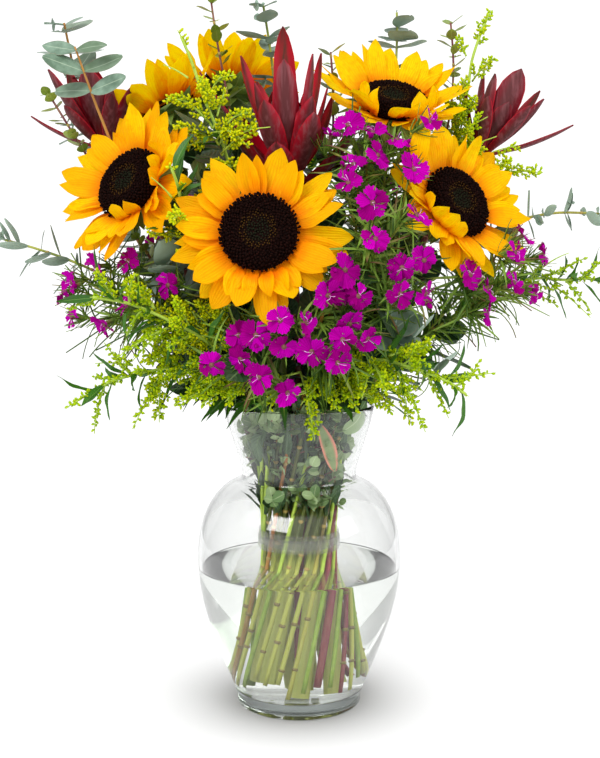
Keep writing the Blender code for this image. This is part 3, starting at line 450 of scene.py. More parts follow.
# The tie: a clear plastic band, wound twice round the bunch's waist and drawn tight, so that it is
# creased where it bridges from stem to stem.
TIE_HEIGHT = 14
TIE_Z = 120
TIE_RADIUS = 28.4
BAND_SIDES = 120
WINDINGS = ((-7.0, 3.2, 0.8), (-3.6, 7.0, 0.4))
draw = random.Random("tie")
growth = Growth()
for low, high, out in WINDINGS:
    phases = [draw.uniform(0, math.tau) for _ in range(3)]
    profile = [(0.0, low), (0.35, low + 0.4), (0.3, low + 3), (0.12, 0), (0.3, high - 3), (0.35, high - 0.4)]
    profile += [(0.0, high), (-0.4, high), (-0.4, low)]
    rings = []
    for deep, height in [*profile, profile[0]]:
        ring = []
        for turn in turns_of(BAND_SIDES):
            crease = 0.22 * math.sin(13 * turn + phases[0])
            crease += 0.16 * math.sin(29 * turn + phases[1] + height / 2)
            radius = TIE_RADIUS + out + deep * 0.5 + crease
            sag = 0.45 * math.sin(2 * turn + phases[2])
            spot = Vector((math.cos(turn) * radius, math.sin(turn) * radius, TIE_Z + height * 0.93 + sag))
            ring.append(spot * MM)
        rings.append(ring)
    growth.tube(rings, capped=(False, False))
band = Finish("clear_plastic_band", 0.1, Transmission_Weight=0.85, IOR=1.35, Alpha=0.34, Coat_Weight=0.5)
band.colour(band.blend((0.66, 0.68, 0.62), (0.95, 0.95, 0.92), band.noise(160, 3, (1, 1, 4))))
band.bump(band.noise(260, 3, (1, 1, 0.3)), 0.4 * MM, 0.6)
growth.piece("clear_tie_band", ["tie"], [band])

# The sunflowers' stems: thick, green and ribbed, cut square at the foot. Each ends in the swollen
# green base of its head, with three rows of pointed bracts that hold the rays from behind.
TWIST_LENGTH = 101
LEAVE_Z = 206
THICK_RING = 15
THICK_STEM = 5.4
STEM_SIDES = 48
STEM_RIBS = 12
GOLDEN_ANGLE = 2.39996
GREEN_BRACTS = 39
# Each has its head's place, the way it looks (turned to the right and raised, in degrees), its stem's
# place round the tie in degrees, and the height of its foot.
SUNFLOWERS = {
    "sunflower_front": ((-24, -112, 334), (-4, 16), 198, 22),
    "sunflower_left": ((-108, -62, 366), (-38, 25), 138, 16),
    "sunflower_right": ((101, -60, 354), (35, 25), 258, 24),
    "sunflower_top_right": ((64, -10, 424), (12, 55), 318, 14),
    "sunflower_back_left": ((-96, 30, 424), (-104, 58), 78, 20),
    "sunflower_back": ((-52, 60, 440), (178, 62), 18, 15),
}
stems = {}


def at(point):
    """A point given in millimetres."""
    return Vector(point) * MM


def facing(turn, rise):
    """The unit vector that looks to the front, turned to the right and raised by those degrees."""
    turn, rise = math.radians(turn), math.radians(rise)
    return Vector((math.sin(turn) * math.cos(rise), -math.cos(turn) * math.cos(rise), math.sin(rise)))


def outward_of(axis, angle):
    """The unit vector that leaves the axis squarely, at that angle from its right."""
    axis = axis.normalized()
    guide = Vector((0, 0, 1)) if abs(axis.z) < 0.9 else Vector((0, 1, 0))
    right = guide.cross(axis).normalized()
    return right * math.cos(angle) + axis.cross(right) * math.sin(angle)


def smooth(points, steps):
    """A curve through the points, with that many steps between each two."""
    padded = [points[0] * 2 - points[1], *points, points[-1] * 2 - points[-2]]
    curve = []
    for before, start, end, after in zip(padded, padded[1:], padded[2:], padded[3:]):
        leave, arrive = (end - before) / 6, (after - start) / 6
        curve += interpolate_bezier(start, start + leave, end - arrive, end, steps + 1)[:-1]
    return [Vector(point) for point in curve] + [points[-1]]


def rings_along(line, radii, sides, ribs=0, depth=0.0):
    """Rings of points round a line, with one radius for each of its points."""
    across = outward_of(line[1] - line[0], 0)
    rings = []
    for index, (point, radius) in enumerate(zip(line, radii)):
        ahead = (line[min(index + 1, len(line) - 1)] - line[max(index - 1, 0)]).normalized()
        across = (across - ahead * across.dot(ahead)).normalized()
        other = ahead.cross(across)
        ring = []
        for turn in turns_of(sides):
            reach = radius + depth * math.cos(ribs * turn)
            ring.append(point + (across * math.cos(turn) + other * math.sin(turn)) * reach)
        rings.append(ring)
    return rings


def rows_across(line, uppers, half, wide, lift):
    """Rows of points across a leaf or petal, from its root to its tip.

    uppers are the ways that its upper side looks at each point of its line. half gives its half width
    at a share of its length, and lift how far it rises off the flat at (across, along).
    """
    rows = []
    for index, (point, upper) in enumerate(zip(line, uppers)):
        along = index / (len(line) - 1)
        ahead = (line[min(index + 1, len(line) - 1)] - line[max(index - 1, 0)]).normalized()
        side = ahead.cross(upper).normalized()
        upper = side.cross(ahead)
        steps = [2 * step / (wide - 1) - 1 for step in range(wide)]
        rows.append([point + side * (half(along) * u) + upper * lift(u, along) for u in steps])
    return rows


def between(pairs):
    """A function that runs straight between (along, value) pairs."""

    def value(along):
        for (low, first), (high, second) in zip(pairs, pairs[1:]):
            if along <= high:
                return first + (second - first) * (along - low) / (high - low)
        return pairs[-1][1]

    return value


def bent(root, along, upper, length, bend, steps):
    """A line that sets out along and bends towards its upper side, and the uppers at its points."""
    along = along.normalized()
    upper = (upper - along * upper.dot(along)).normalized()
    line, uppers = [root.copy()], []
    for step in range(steps + 1):
        turn = bend * step / steps
        uppers.append(upper * math.cos(turn) - along * math.sin(turn))
        if step < steps:
            middle = bend * (step + 0.5) / steps
            line.append(line[-1] + (along * math.cos(middle) + upper * math.sin(middle)) * length / steps)
    return line, uppers


def straight_up_the_bunch(foot):
    """A function that gives where the stem with that foot passes a height, in metres."""
    start = complex(foot.x, foot.y) / complex(1, (foot.z / MM - TIE_Z) / TWIST_LENGTH)

    def passing(height):
        spot = start * complex(1, (height / MM - TIE_Z) / TWIST_LENGTH)
        return Vector((spot.real, spot.imag, height))

    return passing


stem_green = Finish("ribbed_green_stem", 0.5, Specular_IOR_Level=0.35)
streaks = stem_green.noise(420, 3, (1, 1, 0.05))
fresh = stem_green.blend(seen(122, 140, 42), seen(186, 194, 92), stem_green.ramp(streaks, 0.32, 0.68))
marked = stem_green.ramp(stem_green.noise(55, 4), 0.66, 0.74)
wear_and_painted_shade = stem_green.blend(fresh, seen(112, 84, 38), stem_green.sum("MULTIPLY", marked, 0.6))
# Painted light and shade: the stem is painted paler below the water line, and painted darker from just above
# it all the way up to its head.
height = stem_green.height()
painted_light_under_water = stem_green.ramp(height, 0.09, 0.11, 0.9, 0.0)
painted_shade_above_water = stem_green.ramp(height, 0.1, 0.125, 0.0, 0.8)
wear_and_painted_shade = stem_green.blend(wear_and_painted_shade, seen(70, 84, 24), painted_shade_above_water)
stem_green.colour(stem_green.blend(wear_and_painted_shade, seen(222, 224, 124), painted_light_under_water))
stem_green.bump(streaks, 0.35 * MM, 0.6)
cut_pith = Finish("cut_pith", 0.8)
cut_pith.colour(cut_pith.blend(seen(214, 214, 160), seen(168, 172, 106), cut_pith.noise(500)))
bract_green = Finish("green_bract", 0.6)
across, _, shade = bract_green.place()
bract_tone = bract_green.blend(seen(74, 104, 34), seen(132, 156, 66), shade)
bract_rib = bract_green.off_middle(across, 0.0, 0.16, 0.7, 0.0)
bract_green.colour(bract_green.blend(bract_tone, seen(166, 184, 100), bract_rib))
bract_green.bump(bract_green.noise(700, 3), 0.2 * MM, 0.5)

for name, (head, look, slot, foot) in SUNFLOWERS.items():
    draw = random.Random(name)
    centre, axis = at(head), facing(*look)
    angle = math.radians(slot)
    foot_point = Vector((math.cos(angle), math.sin(angle), 0)) * THICK_RING * MM
    lean = (foot - TIE_Z) / TWIST_LENGTH
    foot_point += Vector((-math.sin(angle), math.cos(angle), 0)) * THICK_RING * lean * MM
    foot_point.z = foot * MM
    passing = straight_up_the_bunch(foot_point)
    upper = [centre - axis * 46 * MM, centre - axis * 12 * MM]
    bend = smooth([passing((LEAVE_Z - 30) * MM), passing(LEAVE_Z * MM), *upper], 8)[8:]
    straight = [foot_point.lerp(bend[0], step / 24) for step in range(24)]
    line = straight + bend
    stems[name] = line
    knots = [draw.uniform(0.1, 0.9) for _ in range(3)]
    radii = []
    for index in range(len(line)):
        share = index / (len(line) - 1)
        swell = sum(math.exp(-(((share - knot) * 60) ** 2)) for knot in knots)
        radii.append((THICK_STEM * (0.97 - 0.18 * share) + 0.5 * swell) * MM)
    growth = Growth()
    skin = rings_along(line, radii, STEM_SIDES, STEM_RIBS, 0.22 * MM)
    growth.tube(skin, 0, draw.random(), (False, False))
    cut = [line[0], line[0] + (line[0] - line[1]) * 0.02]
    pith = rings_along(cut, [radii[0], radii[0] * 0.9], STEM_SIDES, STEM_RIBS, 0.2 * MM)
    growth.tube([ring[::-1] for ring in pith], 1, 0.5, (False, True))
    base = [(4.4, -15), (6.4, -12.5), (12.6, -10.2), (18.6, -7), (21.4, -4), (21.2, -2.6), (12, -1.6)]
    cup = []
    for radius, height in base:
        middle = centre + axis * height * MM
        cup.append([middle + outward_of(axis, turn) * radius * MM for turn in turns_of(36)])
    growth.tube(cup, 2, 0.3, (False, True))
    outline = between([(0, 5.2), (0.25, 6.0), (0.55, 4.6), (0.8, 2.2), (0.95, 0.6), (1, 0.1)])
    for number in range(GREEN_BRACTS):
        row, place = number % 3, number / 3
        outward = outward_of(axis, math.tau * (place + draw.uniform(-0.15, 0.15)) / 13)
        root = centre + outward * (17.5 - 3.0 * row) * MM - axis * (5.4 + 2.4 * row) * MM
        length = (draw.uniform(17, 21) - 2.5 * row) * MM
        tilt = draw.uniform(-0.25, 0.1) - 0.25 * row
        rise = outward * math.cos(tilt) + axis * math.sin(tilt)
        bent_line, uppers = bent(root, rise, axis, length, draw.uniform(-0.7, 0.5), 8)
        size = draw.uniform(0.8, 1.05) * MM

        def half(s):
            return outline(s) * size

        rows = rows_across(bent_line, uppers, half, 5, lambda u, s: (0.9 * u * u - 0.4) * MM)
        growth.sheet(rows, 2, draw.random())
    growth.piece(name + "_green", [name + "_stem"], [stem_green, cut_pith, bract_green])

# The discs: some hundreds of small tubular florets, packed in spirals on a low dome. The outer ones
# are open and dark, a ring of younger ones is olive, and the middle is still in tight bud.
DISC_RADIUS = 24.6
FLORETS = 640
YOUNG_RING = 0.40
DOME = [(0, 6.0), (0.25, 6.6), (0.52, 8.0), (0.8, 7.2), (0.93, 4.6), (1, 2.4)]
disc_dark = Finish("dark_florets", 0.8, Specular_IOR_Level=0.05)
_, along, shade = disc_dark.place()
off_ring = disc_dark.sum("ABSOLUTE", disc_dark.sum("SUBTRACT", shade, YOUNG_RING))
young = disc_dark.ramp(off_ring, 0.02, 0.12, 0.55, 0.0)
grains = disc_dark.noise(1100, 3)
deep = disc_dark.blend(seen(12, 4, 3), seen(38, 14, 9), disc_dark.ramp(grains, 0.4, 0.7))
inner = disc_dark.blend(seen(30, 32, 20), deep, disc_dark.ramp(shade, 0.22, 0.42))
young_tips = disc_dark.sum("MULTIPLY", young, disc_dark.ramp(along, 0.5, 1.0))
disc_dark.colour(disc_dark.blend(inner, seen(104, 74, 22), young_tips))
disc_dark.bump(grains, 0.3 * MM, 0.5)

for name, (head, look, _, _) in SUNFLOWERS.items():
    draw = random.Random(name + " disc")
    centre, axis = at(head), facing(*look)
    growth = Growth()
    under = [(1, -0.2), (1, 2.0), *[(share, height - 0.3) for share, height in DOME[-2:0:-1]], (0.04, 5.7)]
    height_at = between(DOME)
    dome = []
    for share, height in under:
        reach = share * (DISC_RADIUS - 1.4) * MM
        dome.append([centre + axis * height * MM + outward_of(axis, turn) * reach for turn in turns_of(40)])
    growth.tube(dome, 0, 0.7, (True, True))
    for number in range(FLORETS):
        share = math.sqrt((number + 0.5) / FLORETS)
        outward = outward_of(axis, number * GOLDEN_ANGLE)
        root = centre + outward * share * (DISC_RADIUS - 1.2) * MM + axis * (height_at(share) - 0.8) * MM
        root += Vector([draw.uniform(-0.3, 0.3) for _ in range(3)]) * MM
        splay = 0.9 * max(0, share - 0.55) / 0.45
        ahead = (axis + outward * splay + Vector([draw.uniform(-0.3, 0.3) for _ in range(3)])).normalized()
        tall = (1.9 + 1.6 * max(0, share - 0.5) + draw.uniform(-0.3, 0.5)) * MM
        thick = (0.68 if share < 0.45 else 0.82) * MM
        stages = [(0, 0.6), (0.75, 1.0 if share < 0.5 else 1.25), (1, 0.25)]
        spots = [root + ahead * tall * stage for stage, _ in stages]
        rings = rings_along(spots, [thick * swell for _, swell in stages], 4)
        growth.tube(rings, 0, min(max(share + draw.uniform(-0.03, 0.03), 0), 1), (False, True))
    growth.piece(name + "_florets", [name + "_disc"], [disc_dark])

# The rays: long golden petals in overlapping rows round the disc. Each is thin, pleated along its
# length and pointed, and springs from between the disc and the bracts. A few curl over the disc, and
# one of the right flower's stands on end.
RAY_WIDTH = 7.6
RAY_GAP = 36
BLUNT_RAY = ((0, 0.5), (0.12, 0.66), (0.35, 0.98), (0.62, 1.0), (0.8, 0.84), (0.92, 0.48), (1, 0.06))
POINTED_RAY = ((0, 0.52), (0.12, 0.68), (0.38, 1.0), (0.62, 0.96), (0.8, 0.66), (0.93, 0.3), (1, 0.03))
# Painted light: these heads' rays are painted paler than the others', whose gold runs from 0 to 0.6, most of
# all the two at the back, whose undersides are in shade.
RAYS_PAINTED_PALER = {
    "sunflower_left": (0.15, 0.8), "sunflower_right": (0.3, 0.95), "sunflower_top_right": (0.5, 1.0),
    "sunflower_back": (0.8, 1.0), "sunflower_back_left": (0.8, 1.0),
}
# Each curled ray's angle round the disc, length, rise and bend.
CURLED_RAYS = {
    "sunflower_left": (
        (38, 20, 1.2, 0.5), (20, 17, 1.5, 0.9), (2, 16, 1.3, 1.0), (-52, 15, 1.5, 1.3), (-72, 17, 1.3, 1.5),
    ),
    "sunflower_right": ((188, 19, 0.9, 0.9), (206, 20, 1.1, 1.1), (222, 20, 1.2, 1.3), (238, 18, 1.0, 1.4)),
    "sunflower_front": (
        (246, 18, 1.0, -1.3), (262, 19, 0.9, -1.5), (281, 18, 1.1, -1.4), (296, 19, 0.8, -1.2),
    ),
    "sunflower_top_right": (
        (205, 20, 1.6, 1.2), (226, 23, 1.5, 0.9), (292, 22, 1.4, 1.3),
        (312, 25, 1.5, 1.0), (336, 24, 1.5, 1.1),
    ),
}
SHARP_TIP = 262
STANDING_RAY = ((72, -78, 368), (76, -84, 392), (81, -80, 414))


def welded(name):
    """The node's solid, with its faces joined at their corners."""
    solid = bmesh.new()
    solid.from_mesh(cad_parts[name].data)
    bmesh.ops.remove_doubles(solid, verts=solid.verts, dist=1e-6)
    solid.normal_update()
    return solid


def beside(ring, passed):
    """The corners that edges join to the ring's, but for those already passed."""
    return {edge.other_vert(corner) for corner in ring for edge in corner.link_edges} - passed


def across_ring(ring):
    """The middle, the upper way and the half width of a blade, from four corners round it."""
    first, *others = ring
    under = min(others, key=lambda corner: (corner.co - first.co).length)
    far = [corner for corner in others if corner is not under]
    upper = (first.co - under.co).normalized()
    if (far[0].co - far[1].co).dot(upper) < 0:
        far.reverse()
    left, right = (first.co + under.co) / 2, (far[0].co + far[1].co) / 2
    return (left + right) / 2, upper, (left - right).length / 2


def blades_of(solid, upper_way, sharpest=SHARP_TIP, rooted=False):
    """Each blade of a solid: (middle, upper way, half width) at its stations, root first and tip last.

    A tip's corners come to sharpest degrees at most. rooted adds where the blade leaves its stem.
    """
    blades = []
    for tip in solid.verts:
        if len(tip.link_edges) != 4 or tip.co.z < (TIE_Z + TIE_HEIGHT) * MM:
            continue
        if math.degrees(sum(loop.calc_angle() for loop in tip.link_loops)) > sharpest:
            continue
        stations, passed = [], {tip}
        ring = beside([tip], passed)
        while len(ring) == 4:
            passed |= ring
            stations.append(across_ring(ring))
            ring = beside(ring, passed)
        if not stations:
            continue
        if rooted:
            last, upper, _ = stations[-1]
            root = sum((corner.co for corner in ring), Vector()) / len(ring)
            if (root - last).length > 1.2 * (tip.co - last).length:
                root = last + (last - tip.co) * 0.9
            stations.append((root, upper, 0.6 * MM))
        guide = upper_way(tip.co)
        level = []
        for middle, upper, half in stations[::-1]:
            upper = upper if upper.dot(level[-1][1] if level else guide) > 0 else -upper
            level.append((middle, upper, half))
        blades.append([*level, (tip.co.copy(), level[-1][1], 0.0)])
    return blades


def fine_line(stations, steps):
    """A blade's stations as one smooth line, and the uppers at its points."""
    line = smooth([middle for middle, _, _ in stations], steps)
    uppers = [upper.normalized() for upper in smooth([upper for _, upper, _ in stations], steps)]
    return line, uppers


def lengths_along(line, unit=1.0):
    """How far along the line each of its points is, in that many metres."""
    lengths = [0.0]
    for start, end in zip(line, line[1:]):
        lengths.append(lengths[-1] + (end - start).length / unit)
    return lengths


def resampled(line, uppers, steps):
    """The same line at even steps of its length."""
    lengths = lengths_along(line)
    found, ways, index = [], [], 0
    for step in range(steps + 1):
        goal = lengths[-1] * step / steps
        while index < len(line) - 2 and lengths[index + 1] < goal:
            index += 1
        share = (goal - lengths[index]) / max(lengths[index + 1] - lengths[index], 1e-9)
        found.append(line[index].lerp(line[index + 1], share))
        ways.append(uppers[index].lerp(uppers[index + 1], share).normalized())
    return found, ways


def ray_gold(name, glow):
    """A thin, pleated golden petal that lets light through, with painted shade in orange at its root and
    pleats.
    """
    golden = Finish(name, 0.55, Specular_IOR_Level=0.06)
    across, along, shade = golden.place()
    pleats = golden.ripples(across, 26.0)
    fleck = golden.noise(260, 3)
    rich = golden.blend(seen(255, 185, 0), seen(255, 218, 0), golden.ramp(shade, 0.1, 0.9))
    rich = golden.blend(rich, seen(255, 166, 0), golden.ramp(fleck, 0.45, 0.75, 0.0, 0.45))
    # Painted shade: the ray is painted deeper orange towards its root and along every other pleat.
    root_shade = golden.ramp(along, 0.08, 0.55, 0.9, 0.0)
    warm = golden.blend(rich, seen(244, 122, 0), root_shade)
    golden.colour(golden.blend(warm, seen(240, 136, 0), golden.ramp(pleats, 0.2, 1.0, 0.0, 0.34)))
    golden.bump(pleats, 0.18 * MM, 0.5)
    golden.glow(warm, glow)
    return golden


golden = ray_gold("golden_ray", 0.36)
backlit_gold = ray_gold("backlit_golden_ray", 0.62)


def turned_about(line, uppers, centre, axis, angle):
    """The line turned about the axis through the centre."""
    matrix = Matrix.Rotation(angle, 3, axis)
    return [centre + matrix @ (point - centre) for point in line], [matrix @ upper for upper in uppers]


def twisted(line, uppers, angle):
    """The uppers turned about the line, from nothing at its root to the angle at its tip."""
    ahead = line[-1] - line[0]
    last = len(uppers) - 1
    return [Matrix.Rotation(angle * index / last, 3, ahead) @ upper for index, upper in enumerate(uppers)]


def ray(growth, line, uppers, draw, width, pale):
    """One ray petal along the line: most are broad and blunt, some pointed, and a few folded."""
    line, uppers = resampled(line, uppers, 15)
    uppers = twisted(line, uppers, draw.gauss(0, 0.3))
    outline = between(BLUNT_RAY if draw.random() < 0.6 else POINTED_RAY)
    cup, curl = draw.uniform(-0.8, 2.4), draw.uniform(-3.0, 2.2)
    if draw.random() < 0.22:
        cup *= 1.9
        width *= 0.84
    wave, phase = draw.uniform(0.2, 1.1), draw.uniform(0, math.tau)
    skew = draw.uniform(-0.25, 0.25)

    def half(s):
        return outline(s) * width * MM

    def lift(u, s):
        pleat = 0.42 * math.cos(3 * math.pi * u) * math.sin(math.pi * min(s * 1.05, 1))
        edge = wave * abs(u) ** 1.5 * math.sin(9 * s + phase + 1.4 * u)
        rise = cup * (u * u - 0.3) * math.sin(math.pi * s) + pleat + edge + curl * s**4 * (1 + skew * u)
        return rise * MM

    growth.sheet(rows_across(line, uppers, half, 9, lift), 0, draw.uniform(*pale))


for name, (head, look, _, _) in SUNFLOWERS.items():
    draw = random.Random(name + " rays")
    pale = RAYS_PAINTED_PALER.get(name, (0.0, 0.6))
    centre, axis = at(head), facing(*look)
    growth = Growth()
    solid = welded(name + "_petals")
    traced = [fine_line(stations, 6) for stations in blades_of(solid, lambda point: axis)]
    solid.free()
    for line, uppers in traced:
        ray(growth, line, uppers, draw, RAY_WIDTH * draw.uniform(0.92, 1.08), pale)
        angle = draw.choice((-1, 1)) * math.tau / RAY_GAP * draw.uniform(0.8, 1.15)
        beside_line, beside_uppers = turned_about(line, uppers, centre, axis, angle)
        shrink, drop = draw.uniform(0.82, 0.97), draw.uniform(-0.9, 0.5)
        root = beside_line[0]
        moved = []
        for index, point in enumerate(beside_line):
            share = index / (len(beside_line) - 1)
            moved.append(root + (point - root) * shrink + axis * drop * (0.6 + 2.6 * share) * MM)
        ray(growth, moved, beside_uppers, draw, RAY_WIDTH * draw.uniform(0.8, 0.98), pale)
    for clock, length, rise, bend in CURLED_RAYS.get(name, ()):
        outward = outward_of(axis, math.radians(clock))
        root = centre + outward * 25 * MM + axis * 1.0 * MM
        line, uppers = bent(root, outward + axis * rise, axis * 0.8 - outward, length * MM, bend, 12)
        uppers = twisted(line, uppers, draw.uniform(-0.9, 0.9))
        ray(growth, line, uppers, draw, RAY_WIDTH * 0.78, pale)
    if name == "sunflower_right":
        line = smooth([at(point) for point in STANDING_RAY], 6)
        ray(growth, line, [Vector((-0.5, -0.85, 0)).normalized()] * len(line), draw, RAY_WIDTH * 0.9, pale)
    gold = backlit_gold if "_back" in name else golden
    growth.piece(name + "_rays", [name + "_petals"], [gold])

# The conebush heads: a woody stem, a small green cone in the middle, and long leathery bracts round
# it, olive down the middle and crimson at the edges, with smaller leaves below them on the stem.
INSIDE, OUTSIDE, WOOD, SCALE = range(4)
FEEL_STEP = 4
MOST_STEPS = 300
STRAIGHT_STEPS = 16
CONE_LENGTH = 24
CONE_SCALES = 60
# Each has its size, how red it is, the number of its further bracts, and the tilt of the first of them.
CONEBUSHES = {
    "conebush_centre": (1.0, 1.0, 17, 16),
    "conebush_left": (0.75, 0.2, 7, 8),
    "conebush_right": (0.75, 0.2, 7, 8),
}
BRACT_SHAPE = [
    (0, 0.4), (0.2, 0.62), (0.42, 0.92), (0.62, 1.0), (0.8, 0.86), (0.92, 0.52), (0.98, 0.22), (1, 0.05),
]


def feel_ahead(tree, point, ahead):
    """How far the solid runs on from the point, and the way in which it runs furthest."""
    furthest, found = 0.0, ahead
    for tilt, turns in ((0, 1), (0.12, 6), (0.3, 8), (0.55, 8)):
        for turn in range(turns):
            aside = outward_of(ahead, math.tau * turn / turns)
            way = ahead * math.cos(tilt) + aside * math.sin(tilt)
            run = tree.ray_cast(point, way)[3] or 0.0
            if run * (1 - 0.4 * tilt) > furthest:
                furthest, found = run * (1 - 0.4 * tilt), way
    return furthest, found


def stem_line(solid, reach):
    """The middle line of a node's stem: straight up the bunch, then felt for inside the solid.

    reach is the most that the stem's side may be from its middle.
    """
    tree = BVHTree.FromBMesh(solid)
    lowest = min(corner.co.z for corner in solid.verts)
    ring = [corner.co for corner in solid.verts if corner.co.z < lowest + 4 * MM]
    foot = sum(ring, Vector()) / len(ring)
    passing = straight_up_the_bunch(foot)
    leaving = passing((LEAVE_Z - 4) * MM)
    line = [foot.lerp(leaving, step / STRAIGHT_STEPS) for step in range(STRAIGHT_STEPS + 1)]
    ahead = (line[-1] - line[-2]).normalized()
    point, walked = line[-1], 0.0
    for _ in range(MOST_STEPS):
        run, way = feel_ahead(tree, point, ahead)
        if run < 2.2 * MM:
            break
        stride = min(FEEL_STEP * MM, run * 0.5)
        middle = point + way * stride
        for turn in range(6):
            aside = outward_of(way, math.pi * turn / 6)
            near = tree.ray_cast(middle, aside, reach)[3]
            far = tree.ray_cast(middle, -aside, reach)[3]
            if near and far:
                middle += aside * (near - far) / 4
        ahead = (ahead + (middle - point).normalized() * 1.5).normalized()
        point = middle
        walked += stride
        if walked > 14 * MM:
            line.append(point)
            walked = 0.0
    if walked > 3 * MM:
        line.append(point)
    return smooth(line[:STRAIGHT_STEPS], 1)[:-1] + smooth(line[STRAIGHT_STEPS - 1 :], 3)


def stem_of(growth, line, radii, draw, finish, sides=12, knot_every=0.0, knot=0.0):
    """A thin stem along the line, whose radii at its foot and tip are given in millimetres.

    It has a knot, in the next finish, at every so many millimetres, thicker by the share knot.
    """

    def radius_at(index):
        share = index / (len(line) - 1)
        return (radii[0] + (radii[1] - radii[0]) * share) * MM

    growth.tube(rings_along(line, [radius_at(n) for n in range(len(line))], sides), finish, draw.random())
    if not knot_every:
        return
    lengths = lengths_along(line, MM)
    mark = draw.uniform(0.3, 1) * knot_every
    while mark < lengths[-1] - 4:
        index = next(number for number, length in enumerate(lengths) if length >= mark)
        edge, middle = radius_at(index) * 0.98, radius_at(index) * (1 + knot)
        ahead = (line[index] - line[index - 1]).normalized()
        spots = [line[index] + ahead * off * MM for off in (-1.3, -0.4, 0.3, 1.1)]
        growth.tube(rings_along(spots, [edge, middle, middle, edge], sides), finish + 1, draw.random())
        mark += knot_every * draw.uniform(0.8, 1.25)


def shaft(growth, line, radii, sides, finish, shade=0.5, capped=(True, True)):
    """A small round shape along the line, with a radius in millimetres for each of its points."""
    growth.tube(rings_along(line, [radius * MM for radius in radii], sides), finish, shade, capped)


def thick_leaf(growth, rows, thickness, top, under, shade):
    """A leathery leaf: an upper and an under skin that meet at its edges."""
    wide = len(rows[0]) - 1
    lower = []
    for index, row in enumerate(rows):
        ahead = rows[min(index + 1, len(rows) - 1)][wide // 2] - rows[max(index - 1, 0)][wide // 2]
        normal = (row[-1] - row[0]).cross(ahead).normalized()
        lower.append([p - normal * thickness * (1 - (2 * x / wide - 1) ** 2) for x, p in enumerate(row)])
    growth.sheet(rows, top, shade)
    growth.sheet([row[::-1] for row in lower], under, shade)


woody = Finish("woody_stem", 0.6)
bark = woody.noise(300, 4, (1, 1, 0.2))
dry = woody.blend(seen(104, 34, 48), seen(150, 112, 78), woody.ramp(bark, 0.4, 0.75))
woody.colour(woody.blend(seen(176, 74, 84), dry, woody.ramp(woody.height(), 0.09, 0.115, 0.3, 1.0)))
woody.bump(bark, 0.3 * MM, 0.6)
bract_inside = Finish("bract_inside", 0.45, Specular_IOR_Level=0.22)
across, along, shade = bract_inside.place()
stripe = bract_inside.off_middle(across, 0.1, 0.7, 1.0, 0.0)
fibres = bract_inside.noise(420, 4, (1, 1, 0.12))
stripe = bract_inside.sum("MULTIPLY", stripe, bract_inside.ramp(fibres, 0.3, 0.6, 0.5, 1.0))
edge_red = bract_inside.blend(seen(118, 4, 20), seen(194, 2, 34), shade)
dusk = bract_inside.blend(edge_red, seen(84, 42, 30), stripe)
blushing = bract_inside.sum("SUBTRACT", along, bract_inside.sum("MULTIPLY", shade, 0.25))
dusk = bract_inside.blend(seen(192, 0, 28), dusk, bract_inside.ramp(blushing, 0.05, 0.55))
dusk = bract_inside.blend(dusk, seen(84, 24, 24), bract_inside.ramp(along, 0.8, 1.0, 0.0, 0.7))
thin_edge = bract_inside.off_middle(across, 0.86, 0.99, 0.0, 0.8)
bract_inside.colour(bract_inside.blend(dusk, seen(186, 14, 34), thin_edge))
bract_inside.bump(fibres, 0.25 * MM, 0.5)
bract_outside = Finish("bract_outside", 0.48, Specular_IOR_Level=0.2)
across, along, shade = bract_outside.place()
stripe = bract_outside.off_middle(across, 0.2, 0.85, 1.0, 0.0)
fibres = bract_outside.noise(420, 4, (1, 1, 0.12))
rosy = bract_outside.blend(seen(100, 14, 28), seen(158, 14, 38), shade)
dusk = bract_outside.blend(rosy, seen(84, 42, 44), bract_outside.sum("MULTIPLY", stripe, 0.9))
dusk = bract_outside.blend(dusk, seen(134, 78, 84), bract_outside.ramp(fibres, 0.42, 0.72, 0.0, 0.6))
dusk = bract_outside.blend(seen(128, 0, 18), dusk, bract_outside.ramp(along, 0.0, 0.45))
thin_edge = bract_outside.off_middle(across, 0.86, 0.99, 0.0, 0.8)
bract_outside.colour(bract_outside.blend(dusk, seen(176, 16, 36), thin_edge))
bract_outside.bump(fibres, 0.25 * MM, 0.5)
cone_green = Finish("cone_scales", 0.6)
_, _, shade = cone_green.place()
ripe_scale = cone_green.ramp(shade, 0.2, 0.7)
cone_green.colour(cone_green.blend(seen(120, 24, 36), seen(116, 120, 62), ripe_scale))
cone_green.bump(cone_green.noise(900, 3), 0.3 * MM, 0.6)


def bract(growth, line, uppers, width, draw, shade):
    """One long bract, hollowed like a boat and pointed."""
    line, uppers = resampled(line, uppers, 14)
    outline = between(BRACT_SHAPE)
    hollow = draw.uniform(0.34, 0.55) * width
    curl = draw.uniform(-1.0, 2.0)

    def lift(u, s):
        return (hollow * (u * u - 0.4) * math.sin(math.pi * min(0.15 + 0.8 * s, 1)) + curl * s**3) * MM

    rows = rows_across(line, uppers, lambda s: outline(s) * width * MM, 9, lift)
    thick_leaf(growth, rows, 0.7 * MM, INSIDE, OUTSIDE, shade)


